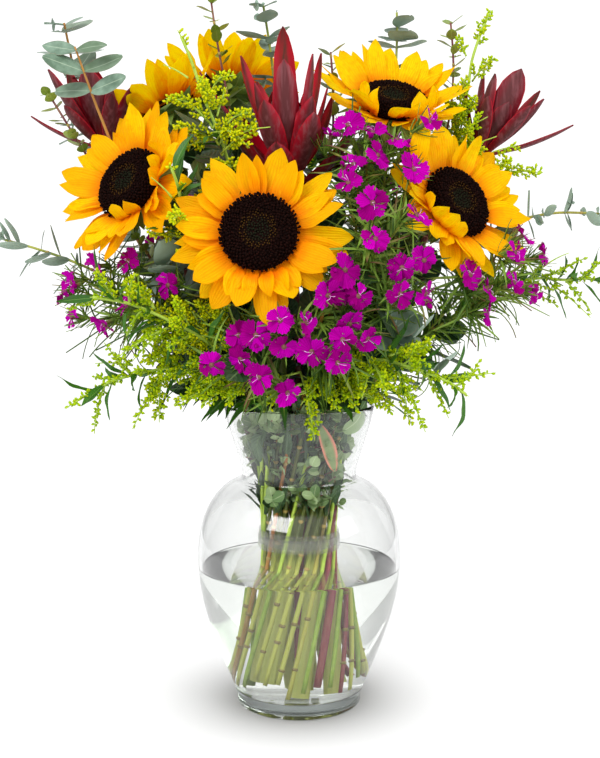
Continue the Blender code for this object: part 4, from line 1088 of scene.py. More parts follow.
scale_half = between([(0, 1.1 * MM), (0.5, 1.3 * MM), (1, 0.1 * MM)])
for name, (size, redness, added, first_tilt) in CONEBUSHES.items():
    draw = random.Random(name)
    growth = Growth()
    solid = welded(name)
    line = stem_line(solid, 3.6 * MM)
    axis = (line[-1] - line[-6]).normalized()
    top = line[-1] - axis * CONE_LENGTH * MM
    line = [point for point in line if (point - top).dot(axis) < 1 * MM]
    blades = blades_of(solid, lambda point: top + axis * 70 * MM - point, rooted=True)
    solid.free()
    for blade in blades:
        middle_line, uppers = fine_line(blade, 6)
        width = max(half for _, _, half in blade) / MM * (0.7 + 0.45 * size)
        bract(growth, middle_line, uppers, width, draw, redness * draw.uniform(0.5, 1.0))
    for number in range(added):
        outward = outward_of(axis, number * GOLDEN_ANGLE)
        tilt = math.radians(first_tilt + 4 * number)
        rise = axis * math.cos(tilt) + outward * math.sin(tilt)
        length = (draw.uniform(36, 48) + 1.5 * min(number, 11)) * size * MM
        root = top + outward * (3.0 + 0.15 * number) * MM + axis * (6 - 1.3 * number) * MM
        bend = draw.uniform(-0.1, 0.6) + 0.4 * size
        bent_line, uppers = bent(root, rise, axis - outward * 0.8, length, bend, 14)
        width = draw.uniform(8.5, 11.5) * (0.1 + 0.9 * size)
        bract(growth, bent_line, uppers, width, draw, redness * draw.uniform(0.4, 1.0))
    for number in range(CONE_SCALES):
        share = (number + 0.5) / CONE_SCALES
        outward = outward_of(axis, number * GOLDEN_ANGLE)
        root = top + axis * (21 * share - 3) * MM + outward * (6.0 * math.cos(share * 1.35)) * MM
        rise = axis * 0.9 + outward * 0.6
        bent_line, uppers = bent(root, rise, axis - outward, 4.6 * MM, 0.9, 4)
        rows = rows_across(bent_line, uppers, scale_half, 3, lambda u, s: 0.3 * u * u * MM)
        growth.sheet(rows, SCALE, draw.random())
    stem_of(growth, line, (2.5, 2.2), draw, WOOD)
    growth.piece(name + "_head", [name], [bract_inside, bract_outside, woody, cone_green])

# The pinks: thin jointed stems that branch near their tops. Each branch ends in a tube of a calyx and
# a flat flower of five fan-shaped, toothed petals, among narrow pointed leaves.
PINKS = ("left", "high", "middle", "right", "low_left", "low_right", "back_left", "back_right")
PETAL, THREAD, NEEDLE, STEM, CALYX = 0, 1, 2, 3, 5
THIN_REACH = 2.6 * MM
CALYX_LENGTH = 11 * MM
NARROW_SHAPE = [(0, 0.7), (0.25, 1.0), (0.6, 0.8), (0.9, 0.3), (1, 0.03)]
pink_petal = Finish("magenta_petal", 0.7, Specular_IOR_Level=0.02)
across, along, shade = pink_petal.place()
veins = pink_petal.ripples(across, 22.0)
bright = pink_petal.blend(seen(142, 0, 110), seen(194, 0, 176), shade)
veined = pink_petal.blend(bright, seen(116, 0, 82), pink_petal.ramp(veins, 0.1, 1.0, 0.0, 0.4))
pink_petal.colour(pink_petal.blend(seen(100, 0, 66), veined, pink_petal.ramp(along, 0.02, 0.22)))
pink_petal.bump(pink_petal.noise(900, 2), 0.2 * MM, 0.5)
pink_petal.glow(seen(190, 0, 130), 0.12)
pale_thread = Finish("pale_stamen", 0.5)
_, along, _ = pale_thread.place()
pale_thread.colour(pale_thread.blend(seen(214, 90, 206), seen(238, 214, 238), along))
needle_green = Finish("needle_green", 0.5, Specular_IOR_Level=0.35)
across, along, shade = needle_green.place()
reddest = needle_green.ramp(shade, 0.72, 0.95)
blushed = needle_green.sum("MULTIPLY", reddest, needle_green.ramp(along, 0.2, 0.9))
leafy = needle_green.blend(seen(54, 92, 20), seen(136, 172, 62), needle_green.ramp(shade, 0.05, 0.7))
leafy = needle_green.blend(leafy, seen(168, 190, 104), needle_green.off_middle(across, 0, 0.3, 0.5, 0))
needle_green.colour(needle_green.blend(leafy, seen(120, 66, 58), blushed))
needle_green.bump(needle_green.noise(600, 2), 0.15 * MM, 0.4)
needle_green.glow(seen(128, 160, 50), 0.15)
thin_green = Finish("thin_green_stem", 0.5)
_, _, shade = thin_green.place()
skin_tone = thin_green.noise(160, 3, (1, 1, 0.2))
sap_and_painted_light = thin_green.blend(seen(104, 120, 32), seen(166, 170, 66), thin_green.ramp(skin_tone, 0.3, 0.7))
# Painted light and shade: the stem is painted darker from just above the water line up through the tie and
# the neck, fading out by 240 mm, and painted paler below the water line.
height = thin_green.height()
in_shade = thin_green.ramp(height, 0.1, 0.125, 0.0, thin_green.ramp(height, 0.19, 0.24, 0.85, 0.0))
sap_and_painted_light = thin_green.blend(sap_and_painted_light, seen(58, 70, 18), in_shade)
sap_and_painted_light = thin_green.blend(sap_and_painted_light, seen(218, 218, 100), thin_green.ramp(height, 0.09, 0.11, 0.85, 0.0))
thin_green.colour(thin_green.blend(sap_and_painted_light, seen(176, 104, 40), thin_green.ramp(shade, 0.66, 0.84, 0.0, 0.75)))
thin_green.bump(skin_tone, 0.2 * MM, 0.4)
knot_brown = Finish("stem_knot", 0.6)
knot_brown.colour(knot_brown.blend(seen(142, 118, 58), seen(178, 156, 82), knot_brown.noise(300)))
calyx_green = Finish("calyx", 0.55)
_, along, _ = calyx_green.place()
flushed = calyx_green.ramp(along, 0.3, 1.0, 0.0, 0.8)
calyx_green.colour(calyx_green.blend(seen(106, 136, 56), seen(120, 44, 60), flushed))
calyx_green.bump(calyx_green.noise(800, 2), 0.15 * MM, 0.4)


def narrow_leaf(growth, line, uppers, width, draw):
    """A narrow pointed leaf, folded along its middle."""
    outline = between(NARROW_SHAPE)
    fold = 0.35 * width * MM
    rows = rows_across(line, uppers, lambda s: outline(s) * width * MM / 2, 3, lambda u, s: fold * abs(u))
    growth.sheet(rows, NEEDLE, draw.random())


def along_line(line, share):
    """The point at that share of a line of even steps, and the way ahead there."""
    place = min(max(share, 0), 1) * (len(line) - 1)
    index = min(int(place), len(line) - 2)
    return line[index].lerp(line[index + 1], place - index), (line[index + 1] - line[index]).normalized()


def pink(growth, centre, axis, radius, turn, draw):
    """A flower: five fan-shaped petals with toothed edges, and in most, two curled threads in its middle."""
    for number in range(5):
        middle = turn + math.tau * (number + draw.uniform(-0.09, 0.09)) / 5
        reach, broad = radius * draw.uniform(0.86, 1.06), draw.uniform(0.5, 0.64)
        droop, wave, phase = draw.uniform(-3.2, 2.6), draw.uniform(0.2, 0.8), draw.uniform(0, 6)
        tilt, fold = draw.uniform(0.4, 2.2), draw.uniform(-0.8, 2.0)
        teeth = []
        for x in range(11):
            teeth.append(draw.uniform(0.02, 0.09) * (1 if x % 2 else -1) + draw.uniform(-0.02, 0.02))
        rows = []
        for y in range(7):
            s = y / 6
            row = []
            for x in range(11):
                u = x / 5 - 1
                spread = (broad + 0.10 * s) * u
                tooth = teeth[x] * max(0, s - 0.8) / 0.2
                out = 0.3 * MM + (reach - 0.3 * MM) * s * (1 - 0.22 * u * u * s + tooth)
                swing = tilt * u * s + fold * abs(u) * s + wave * math.sin(5 * u + phase) * s
                rise = (droop * s * s + swing - 0.9 * (1 - s) ** 2) * MM
                row.append(centre + outward_of(axis, middle + spread) * out + axis * rise)
            rows.append(row)
        growth.sheet(rows, PETAL, draw.random())
    for hand in (-1, 1) if draw.random() < 0.65 else ():
        outward = outward_of(axis, draw.uniform(0, math.tau))
        root = centre + outward * 0.4 * MM
        curl = outward * hand + axis * 0.2
        thread_line, _ = bent(root, axis + outward * 0.3, curl, draw.uniform(4, 6.5) * MM, 2.0, 6)
        shaft(growth, thread_line, [0.15] * 6 + [0.1], 4, THREAD)


def pink_faces(solid):
    """Each flower of a pinks node: its middle, the way it looks, its radius, turn and stalk's root."""
    found = []
    for middle in solid.verts:
        if len(middle.link_edges) < 12:
            continue
        passed = {middle}
        rim = beside([middle], passed)
        passed |= rim
        axis = sum((face.normal for face in middle.link_faces), Vector()).normalized()
        reach = max((corner.co - middle.co).length for corner in rim)
        if reach > 13 * MM:
            continue
        notch = min(rim, key=lambda corner: (corner.co - middle.co).length).co - middle.co
        right, other = outward_of(axis, 0), outward_of(axis, math.pi / 2)
        turn = math.atan2(notch.dot(other), notch.dot(right)) + math.pi / 5
        neck = beside(rim, passed)
        if not neck:
            continue
        calyx = sum((corner.co for corner in neck), Vector()) / len(neck)
        passed |= neck
        root = beside(neck, passed)
        root = sum((corner.co for corner in root), Vector()) / len(root) if root else calyx - axis * 8 * MM
        found.append((middle.co.copy(), axis, reach, turn, root))
    return found


HEART = Vector((0, 20, 290)) * MM
SHOWING = 135 * MM
FLOWER_ROOM = 12.5 * MM
GLASS_ROOM = 0.8
PAIR_TURN = 1.57
head_trees = []
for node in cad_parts:
    if node.endswith(("_disc", "_petals")) or node in CONEBUSHES:
        solid = welded(node)
        head_trees.append(BVHTree.FromBMesh(solid))
        solid.free()
pink_places = {}
for place in PINKS:
    solid = welded("pinks_" + place)
    pink_places["pinks_" + place] = pink_faces(solid)
    solid.free()
faces_of_pinks = [(centre, axis) for faces in pink_places.values() for centre, axis, *_ in faces]
outer_wall, inner_wall = vase_side(), vase_side(VASE_WALL)


def through_glass(point):
    """Whether the point is in the vase's wall or closer to it than a leaf is thick."""
    height = point.z / MM
    if height > VASE_HEIGHT + 1:
        return False
    radius = math.hypot(point.x, point.y) / MM
    inside, outside = wall_radius(inner_wall, height), wall_radius(outer_wall, height)
    return inside - GLASS_ROOM < radius < outside + GLASS_ROOM


def hides_a_flower(point):
    """Whether the point is on a pink's face, or in front of a flower that looks out of the bunch."""
    for centre, axis in faces_of_pinks:
        off = point - centre
        if abs(off.x) < FLOWER_ROOM and abs(off.z) < FLOWER_ROOM and abs(off.y) < 60 * MM:
            if off.length < FLOWER_ROOM and off.dot(axis) > -1.5 * MM:
                return True
            if off.y < 0 and axis.y < -0.3 and off.x**2 + off.z**2 < (9 * MM) ** 2:
                return True
    ways = [(HEART - point).normalized()]
    if point.y < 0:
        ways.append(Vector((0, 1, 0)))
    return any(tree.ray_cast(point, way, SHOWING)[0] for tree in head_trees for way in ways)


def leaves_the_vase(point):
    """Whether the point is below the rim, but not inside the vase."""
    height, radius = point.z / MM, math.hypot(point.x, point.y) / MM
    return height < VASE_HEIGHT + 1 and radius > wall_radius(inner_wall, height) - GLASS_ROOM


def clear(points, shown=True):
    """Whether a leaf along these points keeps out of the flowers, the glass and the box.

    If it is shown, it mustn't hide a flower either.
    """
    low, high = solid_box
    start, end = points[0], points[-1]
    for point in points[1:]:
        if any(not low[i] < point[i] < high[i] for i in range(3)) or through_glass(point):
            return False
        if start.z < VASE_HEIGHT * MM and leaves_the_vase(point):
            return False
    way = end - start
    if any(tree.ray_cast(start, way, way.length)[0] for tree in head_trees):
        return False
    return not shown or not (hides_a_flower(end) or hides_a_flower(points[len(points) // 2]))


def dressed(line, low, high, every, draw, make):
    """Goes up a stem from the height low to high, and makes a leaf at every so many millimetres."""
    run, number = every * draw.random(), 0
    for start, end in zip(line, line[1:]):
        step = (end - start).length / MM
        run += step
        while run > every:
            run -= every * draw.uniform(0.8, 1.2)
            number += 1
            point = end.lerp(start, min(run / step, 1))
            if low * MM < point.z < high * MM:
                make(point, (end - start).normalized(), number)


def tried(point, ahead, draw, length, rise, bends, number, shown=True):
    """A clear way out from a stem, as a line of six steps and its uppers, or None."""
    bend = draw.uniform(*bends)
    for attempt in range(6):
        outward = outward_of(ahead, number * PAIR_TURN + draw.uniform(-0.5, 0.5) + attempt * 1.1)
        way = outward + ahead * draw.uniform(*rise)
        line, uppers = bent(point, way, ahead, length * (1 - 0.08 * attempt) * MM, bend, 6)
        if clear(line, shown):
            return line, uppers
    return None


# How many strap leaves each has: long narrow ones that hang over.
STRAPS = {
    "pinks_left": 5, "pinks_right": 9, "pinks_low_right": 3, "pinks_back_left": 3, "pinks_back_right": 3,
}
strap_outline = between([(0, 0.9), (0.6, 1.0), (0.9, 0.6), (1, 0.05)])
for name, faces in pink_places.items():
    draw = random.Random(name)
    growth = Growth()
    solid = welded(name)
    line = stem_line(solid, THIN_REACH)
    solid.free()
    middles = [face[0] for face in faces]
    reached = [n for n, point in enumerate(line) if any((point - m).length < 14 * MM for m in middles)]
    line = line[: min(reached[:1] or [len(line)])]
    stems[name] = line
    stem_of(growth, line, (1.5, 1.1), draw, STEM, sides=10, knot_every=26, knot=0.45)

    def leaf_pair(point, ahead, number):
        for hand in (0, 2):
            found = tried(point, ahead, draw, draw.uniform(18, 38), (0.3, 1.1), (-1.2, 0.3), number + hand)
            if found:
                narrow_leaf(growth, *found, draw.uniform(1.5, 2.6), draw)

    dressed(line, 222, 420, 3.2, draw, leaf_pair)
    for centre, axis, radius, turn, root in faces:
        calyx_root = centre - axis * CALYX_LENGTH
        sway = Vector([draw.uniform(-3, 3) for _ in range(3)]) * MM
        branch = smooth([root, (root + calyx_root) / 2 + sway, calyx_root], 5)
        shaft(growth, branch, [0.75] * len(branch), 6, STEM, draw.random())
        calyx = [calyx_root + axis * step * MM for step in (0, 1.5, 4, 8, 10.6)]
        shaft(growth, calyx, (0.8, 1.45, 1.6, 1.4, 1.7), 8, CALYX, draw.random())
        nod = outward_of(axis, draw.uniform(0, math.tau)) * draw.uniform(0, 0.45)
        pink(growth, centre, (axis + nod).normalized(), radius * draw.uniform(0.84, 1.04), turn, draw)
        for number in range(20):
            outward = outward_of(axis, number * GOLDEN_ANGLE + turn)
            start = calyx_root + axis * draw.uniform(-5, 2) * MM + outward * 0.9 * MM
            way = outward * draw.uniform(0.35, 1.5) + axis * 0.8
            length, width = draw.uniform(9, 20) * MM, draw.uniform(0.9, 1.7)
            narrow_leaf(growth, *bent(start, way, axis, length, 0.4, 5), width, draw)
        if draw.random() < 0.5:
            outward = outward_of(axis, draw.uniform(0, math.tau))
            young, _ = bent(calyx_root, outward * 1.2 + axis, axis, draw.uniform(10, 15) * MM, 0.6, 6)
            if clear(young, False):
                shaft(growth, young[:5], [0.5] * 5, 5, STEM, draw.random())
                calyx = smooth(young[3:], 2)
                shaft(growth, calyx, (0.8, 1.3, 1.5, 1.5, 1.4, 1.3, 1.2), 7, CALYX, draw.random())
                onward = (young[-1] - young[-2]).normalized()
                closed = [young[-1] + onward * step * MM for step in (-0.6, 1.2, 2.8, 4.2)]
                shaft(growth, closed, (1.2, 1.7, 1.3, 0.3), 7, PETAL, 0.2)
        dressed(branch, 0, 500, 4.5, draw, leaf_pair)
    for number in range(STRAPS.get(name, 0)):
        point, ahead = along_line(line, draw.uniform(0.62, 0.86))
        outward = Vector((point.x, point.y + draw.uniform(-60, 20) * MM, 0)).normalized()
        for _ in range(8):
            way = outward + ahead * draw.uniform(0.1, 0.8) + outward_of(ahead, draw.uniform(0, 6)) * 0.4
            length, bend = draw.uniform(38, 62) * MM, draw.uniform(-4.6, -2.6)
            strap, uppers = bent(point, way, Vector((0, 0, 1)), length, bend, 18)
            if clear(strap, False):
                width = draw.uniform(0.8, 1.3) * MM

                def strap_half(s):
                    return strap_outline(s) * width

                rows = rows_across(strap, uppers, strap_half, 3, lambda u, s: 0.5 * abs(u) * MM)
                growth.sheet(rows, NEEDLE, draw.uniform(0, 0.4))
                break
    finishes = [pink_petal, pale_thread, needle_green, thin_green, knot_brown, calyx_green]
    growth.piece(name + "_spray", [name], finishes)

# The goldenrod: green stems whose tops branch into arching plumes, the outermost ones thin. Each carries
# rows of short twigs, crowded with small yellow-green buds, and long lance-shaped leaves grow lower down.
GOLDENRODS = ("high_left", "high_right", "mid_left", "low_left", "drooping", "low_right", "right", "back")
BUD, TWIG, LANCE = range(3)
ABOVE_MOUTH = 17
TWIG_GAP = 2.1
BUD_GAP = 1.25
FULL_PLUME, THIN_PLUME = 1.08, 0.34
LANCE_SHAPE = [(0, 0.2), (0.15, 0.6), (0.38, 1.0), (0.6, 0.85), (0.85, 0.38), (1, 0.02)]
# The further plumes of some stems, as their roots and tips.
FULLER = {
    "goldenrod_high_left": [
        ((-53, -64, 394), (-30, -80, 410)), ((-59, -64, 420), (-41, -76, 433)),
        ((-57, -64, 405), (-84, -74, 419)), ((-55, -64, 399), (-31, -78, 388)),
        ((-50, -62, 386), (-18, -78, 401)), ((-47, -60, 379), (-60, -70, 366)),
        ((-46, -60, 376), (-30, -72, 371)), ((-58, -64, 412), (-52, -84, 418)),
    ],
    "goldenrod_mid_left": [
        ((-41, -70, 258), (-94, -88, 288)), ((-38, -70, 253), (-87, -92, 274)),
        ((-39, -72, 263), (-72, -88, 293)), ((-35, -72, 250), (-77, -96, 262)),
        ((-40, -70, 264), (-55, -86, 286)), ((-44, -72, 262), (-88, -80, 296)),
        ((-36, -68, 252), (-66, -98, 268)),
    ],
    "goldenrod_low_left": [
        ((-32, -68, 241), (-88, -98, 246)), ((-33, -70, 237), (-79, -95, 227)),
        ((-30, -70, 237), (-61, -100, 228)), ((-24, -72, 240), (-46, -102, 230)),
        ((-30, -70, 243), (-70, -100, 254)), ((-28, -72, 238), (-70, -92, 236)),
    ],
    "goldenrod_drooping": [
        ((-9, -72, 242), (-19, -92, 223)), ((1, -75, 246), (10, -92, 204)),
        ((20, -72, 237), (1, -95, 227)), ((14, -72, 236), (24, -96, 224)),
        ((3, -74, 238), (-6, -98, 230)),
    ],
    "goldenrod_high_right": [
        ((112, 6, 426), (117, -20, 456)), ((112, 6, 420), (127, -22, 446)),
        ((110, 6, 410), (112, -22, 440)), ((110, 4, 400), (118, -26, 426)),
        ((106, 4, 390), (108, -26, 420)), ((108, 2, 392), (126, -30, 413)),
        ((106, 0, 382), (115, -30, 406)), ((108, 0, 380), (132, -32, 400)),
        ((110, -4, 374), (146, -34, 394)), ((108, -4, 368), (163, -34, 376)),
        ((108, -6, 364), (142, -36, 383)), ((106, -4, 372), (122, -34, 393)),
    ],
    "goldenrod_low_right": [
        ((30, -70, 231), (58, -92, 265)), ((26, -72, 234), (63, -92, 248)),
        ((25, -72, 231), (60, -95, 223)), ((23, -74, 233), (41, -98, 265)),
        ((20, -74, 231), (37, -100, 225)), ((28, -72, 236), (66, -88, 258)),
        ((24, -72, 234), (52, -98, 240)), ((22, -72, 232), (50, -96, 230)),
    ],
}
LOOSE = ("goldenrod_right", "goldenrod_high_right")
# How ripe and yellow the buds of some are, where the others' go up to 0.6.
RIPE = {"goldenrod_high_left": (0.45, 1.0), "goldenrod_mid_left": (0.45, 1.0), "goldenrod_back": (0.2, 0.8)}
bud_yellow = Finish("goldenrod_bud", 0.6, Specular_IOR_Level=0.12)
_, along, shade = bud_yellow.place()
bud_tone = bud_yellow.blend(seen(176, 210, 18), seen(248, 238, 14), shade)
bud_yellow.colour(bud_yellow.blend(seen(140, 188, 22), bud_tone, bud_yellow.ramp(along, 0.0, 0.5)))
bud_yellow.glow(seen(220, 236, 16), 0.38)
bud_yellow.bump(bud_yellow.noise(1200, 1), 0.15 * MM, 0.4)
twig_green = Finish("goldenrod_twig", 0.55)
twig_green.colour(twig_green.blend(seen(134, 172, 40), seen(194, 216, 84), twig_green.noise(200)))
twig_green.bump(twig_green.noise(500), 0.15 * MM, 0.4)
lance_green = Finish("lance_leaf", 0.42, Specular_IOR_Level=0.45)
across, along, shade = lance_green.place()
rib = lance_green.off_middle(across, 0.02, 0.12, 0.6, 0.0)
side_veins = lance_green.side_veins(across, along, -0.16, 90.0)
leaf_tone = lance_green.blend(seen(34, 84, 14), seen(62, 118, 30), shade)
leaf_tone = lance_green.blend(leaf_tone, seen(24, 66, 12), lance_green.ramp(side_veins, 0.4, 1.0, 0.0, 0.4))
lance_green.colour(lance_green.blend(leaf_tone, seen(120, 160, 70), rib))
lance_green.bump(side_veins, 0.2 * MM, 0.35)
lance_green.glow(seen(90, 150, 20), 0.15)


def bud(growth, root, ahead, size, shade):
    """A small pointed bud."""
    spots = [root + ahead * size * step for step in (0, 0.5, 1)]
    growth.tube(rings_along(spots, [size * r for r in (0.2, 0.4, 0.1)], 3), BUD, shade, (False, True))


def plume_lines(solid):
    """Each plume of a goldenrod node, as a line from its root to its tip."""
    found = []
    for tip in solid.verts:
        if len(tip.link_edges) != 3:
            continue
        if math.degrees(sum(loop.calc_angle() for loop in tip.link_loops)) > SHARP_TIP:
            continue
        passed, line = {tip}, [tip.co.copy()]
        ring = beside([tip], passed)
        while len(ring) == 3 and len(line) < 12:
            passed |= ring
            line.append(sum((corner.co for corner in ring), Vector()) / 3)
            ring = beside(ring, passed)
        if len(line) > 2:
            found.append(line[::-1])
    return found


def lance_leaf(growth, blade, draw, finish):
    """A long pointed leaf laid along a solid blade."""
    line, uppers = resampled(*fine_line(blade, 6), 14)
    widest = max(half for _, _, half in blade)
    outline = between(LANCE_SHAPE)
    phase = draw.uniform(0, 6)

    def lift(u, s):
        return (1.3 * abs(u) * math.sin(math.pi * s) + 0.4 * u * u * math.sin(14 * s + phase)) * MM

    rows = rows_across(line, uppers, lambda s: outline(s) * widest, 7, lift)
    growth.sheet(rows, finish, draw.random())


def blade_along(found, widest, root_half=0.6 * MM, widest_at=3):
    """A new blade's stations on a line of six steps and its uppers, widest at one of the steps."""
    line, uppers = found
    stations = [(line[0], uppers[0], root_half), (line[widest_at], uppers[widest_at], widest)]
    return [*stations, (line[6], uppers[6], 0.0)]


def hangs_out(tip):
    """Whether a plume ends out at the lower left or the lower right, where the bunch is loose."""
    left = tip.x < -100 * MM and tip.z < 300 * MM
    right = tip.x > 72 * MM and tip.z < 268 * MM
    return left or right


for name in ("goldenrod_" + place for place in GOLDENRODS):
    draw = random.Random(name)
    growth = Growth()
    solid = welded(name)
    line = stem_line(solid, THIN_REACH)
    plumes = plume_lines(solid)
    leaves = blades_of(solid, lambda point: Vector((0, 0, 1)), rooted=True)
    solid.free()
    stems[name] = line
    stem_of(growth, line, (1.55, 0.9), draw, TWIG, sides=10)
    for blade in leaves:
        lance_leaf(growth, blade, draw, LANCE)

    def side_plume(point, ahead, number):
        found = tried(point, ahead, draw, draw.uniform(20, 36), (0.5, 1.1), (-0.8, 0.0), number)
        if found:
            plumes.append(found[0])

    for plume in list(plumes):
        reach = plume[-1] - plume[0]
        inward = reach.cross(HEART - plume[0])
        spin = Matrix.Rotation(draw.uniform(0.35, 0.75), 3, inward)
        sister = [plume[0] + spin @ (point - plume[0]) * 0.84 for point in plume]
        if name not in LOOSE and clear(sister):
            plumes.append(sister)
    dressed(line, 224, 340, 9, draw, side_plume)
    for start, end in FULLER.get(name, ()):
        start, end = at(start), at(end)
        bow = (start + end) / 2 + Vector((0, -4, 5)) * MM
        if clear([start, bow, end], False):
            plumes.append([start, bow, end])
            near = min(line[ABOVE_MOUTH:], key=lambda point: (point - start).length)
            if (near - start).length > 3 * MM:
                twig = smooth([near, (near + start) / 2 - Vector((0, 0, 3)) * MM, start], 5)
                shaft(growth, twig, [0.8] * len(twig), 6, TWIG)
    for plume in plumes:
        length = lengths_along(plume)[-1]
        fine = smooth(plume, 4)
        thin = hangs_out(plume[-1]) or name == "goldenrod_right"
        fullness = THIN_PLUME if thin else FULL_PLUME
        ripeness = (0, 0.2) if thin else RIPE.get(name, (0.0, 0.6))
        shaft(growth, fine, [0.75 - 0.5 * n / len(fine) for n in range(len(fine))], 6, TWIG)
        twigs = int(length / MM / TWIG_GAP)
        for number in range(twigs):
            share = 0.06 + 0.9 * (number + draw.uniform(-0.3, 0.3)) / twigs
            point, ahead = along_line(fine, share)
            outward = outward_of(ahead, number * GOLDEN_ANGLE)
            reach = (8.4 * (1 - share) + 2.8) * fullness * draw.uniform(0.75, 1.15)
            reach = reach * min(1, length / (40 * MM)) * MM
            way = outward * 0.9 + ahead * 0.75
            twig, _ = bent(point, way, Vector((0, 0, 1)) + ahead, reach, 0.5, 3)
            if hides_a_flower(twig[-1]):
                continue
            shaft(growth, twig, [0.36 - 0.06 * n for n in range(4)], 3, TWIG, capped=(False, False))
            for step in range(int(reach / MM / BUD_GAP) + 1):
                spot, onward = along_line(twig, 0.25 + 0.78 * step * BUD_GAP * MM / reach)
                off = outward_of(onward, step * 2.2 + number)
                ripe, size = draw.uniform(*ripeness), draw.uniform(2.2, 3.2) * MM
                bud(growth, spot + off * 0.2 * MM, (onward + off * 0.9).normalized(), size, ripe)

    def stem_leaf(point, ahead, number):
        found = tried(point, ahead, draw, draw.uniform(20, 36), (0.4, 1.2), (-0.9, 0.2), number)
        if found:
            lance_leaf(growth, blade_along(found, draw.uniform(2.2, 3.4) * MM), draw, LANCE)

    dressed(line, 216, 400, 5.5, draw, stem_leaf)
    growth.piece(name + "_spray", [name], [bud_yellow, twig_green, lance_green])

# The eucalyptus: thin stems with stiff, waxy leaves in opposite pairs, each pair turned a quarter from
# the last. Some are small and narrow, and some round and as broad as a coin. The one at the upper left
# has a side shoot.
TOP, UNDER, SHOOT = range(3)
ROUND_TIP = 300
BREADTH = {"eucalyptus_left": 0.36, "eucalyptus_right": 0.6}
SIDE_SHOOT = ((-88, -30, 325), (-118, -31, 379), (-131, -36, 411), (-138, -42, 432), (-146, -46, 456))
EUCALYPTUS = ("high_left", "top", "top_right", "left", "right", "low_right", "mid_left", "back")
waxy = Finish("waxy_leaf", 0.5, Specular_IOR_Level=0.35, Sheen_Weight=0.2)
across, _, shade = waxy.place()
bloom = waxy.noise(120, 4)
waxy_tone = waxy.blend(seen(78, 104, 84), seen(122, 148, 128), waxy.ramp(bloom, 0.3, 0.7))
waxy_tone = waxy.blend(waxy_tone, seen(84, 108, 72), waxy.ramp(shade, 0.3, 1.0, 0.0, 0.6))
rib = waxy.off_middle(across, 0.015, 0.07, 0.6, 0.0)
rosy_edge = waxy.off_middle(across, 0.93, 1.0, 0.0, 0.55)
waxy_tone = waxy.blend(waxy_tone, seen(168, 186, 160), rib)
waxy.colour(waxy.blend(waxy_tone, seen(158, 122, 104), rosy_edge))
waxy.bump(bloom, 0.2 * MM, 0.35)
waxy_under = Finish("waxy_leaf_underside", 0.6)
waxy_under.colour(waxy_under.blend(seen(132, 156, 140), seen(166, 186, 168), waxy_under.noise(140, 3)))
waxy_under.bump(waxy_under.noise(500, 2), 0.15 * MM, 0.3)


def stem_and_leaves(name, sharpest=SHARP_TIP):
    """The middle line of a leafy node's stem, and its blades, which look up and out of the bunch."""
    solid = welded(name)
    found = stem_line(solid, THIN_REACH)
    blades = blades_of(solid, lambda point: Vector((point.x, point.y, 0.3)), sharpest, rooted=True)
    solid.free()
    return found, blades


def round_leaf(growth, blade, draw, top, under, breadth=1.0, steps=11, wide=7):
    """A stiff leaf laid along a solid blade: round where that is broad, and oval where it is narrow.

    It has one skin if its upper and under sides have the same finish, and else two.
    """
    line, uppers = resampled(*fine_line(blade, 6), steps)
    widest = max(half for _, _, half in blade) * breadth
    wave, phase, cup = draw.uniform(0, 0.5), draw.uniform(0, 6), draw.uniform(-0.6, 1.0)

    def half(s):
        return widest * max(0.02, 1.06 * math.sin(math.pi * min(max(0.03 + 0.955 * s, 0), 1)) ** 0.62)

    def lift(u, s):
        return (cup * u * u + wave * u * math.sin(7 * s + phase) + 0.25 * abs(u)) * widest / (8 * MM) * MM

    rows = rows_across(line, uppers, half, wide, lift)
    if top == under:
        growth.sheet(rows, top, draw.random())
    else:
        thick_leaf(growth, rows, 0.35 * MM, top, under, draw.random())


for name in ("eucalyptus_" + place for place in EUCALYPTUS):
    draw = random.Random(name)
    breadth = BREADTH.get(name, 1.0)
    longer = 1.2 if name == "eucalyptus_high_left" else breadth**0.4
    growth = Growth()
    line, leaves = stem_and_leaves(name, ROUND_TIP)
    stems[name] = line
    stem_of(growth, line, (1.5, 0.8), draw, SHOOT, sides=10, knot_every=30, knot=0.3)
    for blade in leaves:
        round_leaf(growth, blade, draw, TOP, UNDER, breadth)

    def lower_leaf(point, ahead, number):
        found = tried(point, ahead, draw, draw.uniform(20, 32), (0.3, 0.9), (-0.4, 0.4), number)
        if found:
            blade = blade_along(found, draw.uniform(6.5, 10.5) * breadth * MM)
            round_leaf(growth, blade, draw, TOP, UNDER, steps=8, wide=5)

    def upper_pair(point, ahead, number):
        for hand in (0, 2):
            length = draw.uniform(17, 25) * longer
            found = tried(point, ahead, draw, length, (0.0, 0.45), (-0.4, 0.2), number + hand, False)
            if found:
                blade = blade_along(found, 0.34 * length * breadth * MM)
                round_leaf(growth, blade, draw, TOP, UNDER, steps=10)

    dressed(line, 214, 340, 7, draw, lower_leaf)
    dressed(line, 340, 500, 13, draw, upper_pair)
    if name == "eucalyptus_high_left":
        shoot = smooth([at(point) for point in SIDE_SHOOT], 8)
        near = min(line[ABOVE_MOUTH:], key=lambda point: (point - shoot[0]).length)
        shoot = smooth([near, shoot[0]], 4)[:-1] + shoot
        shaft(growth, shoot, [1.3 - 0.7 * n / len(shoot) for n in range(len(shoot))], 8, SHOOT, 0.9)
        for share, turn in ((0.74, 0.4), (0.86, -0.3), (0.98, 0.2)):
            point, ahead = along_line(shoot, share)
            for hand in (-1, 1):
                way = Vector((hand * math.cos(turn), -math.sin(turn) * hand, draw.uniform(0.0, 0.35)))
                length = (31 - 10 * (share - 0.7) / 0.3) * draw.uniform(0.9, 1.1)
                upper = Vector((0, -0.8, draw.uniform(0.4, 0.8)))
                leaf = bent(point, way, upper, length * MM, draw.uniform(-0.3, 0.2), 6)
                round_leaf(growth, blade_along(leaf, 0.25 * length * MM), draw, TOP, UNDER)
    growth.piece(name + "_spray", [name], [waxy, waxy_under, thin_green, knot_brown])

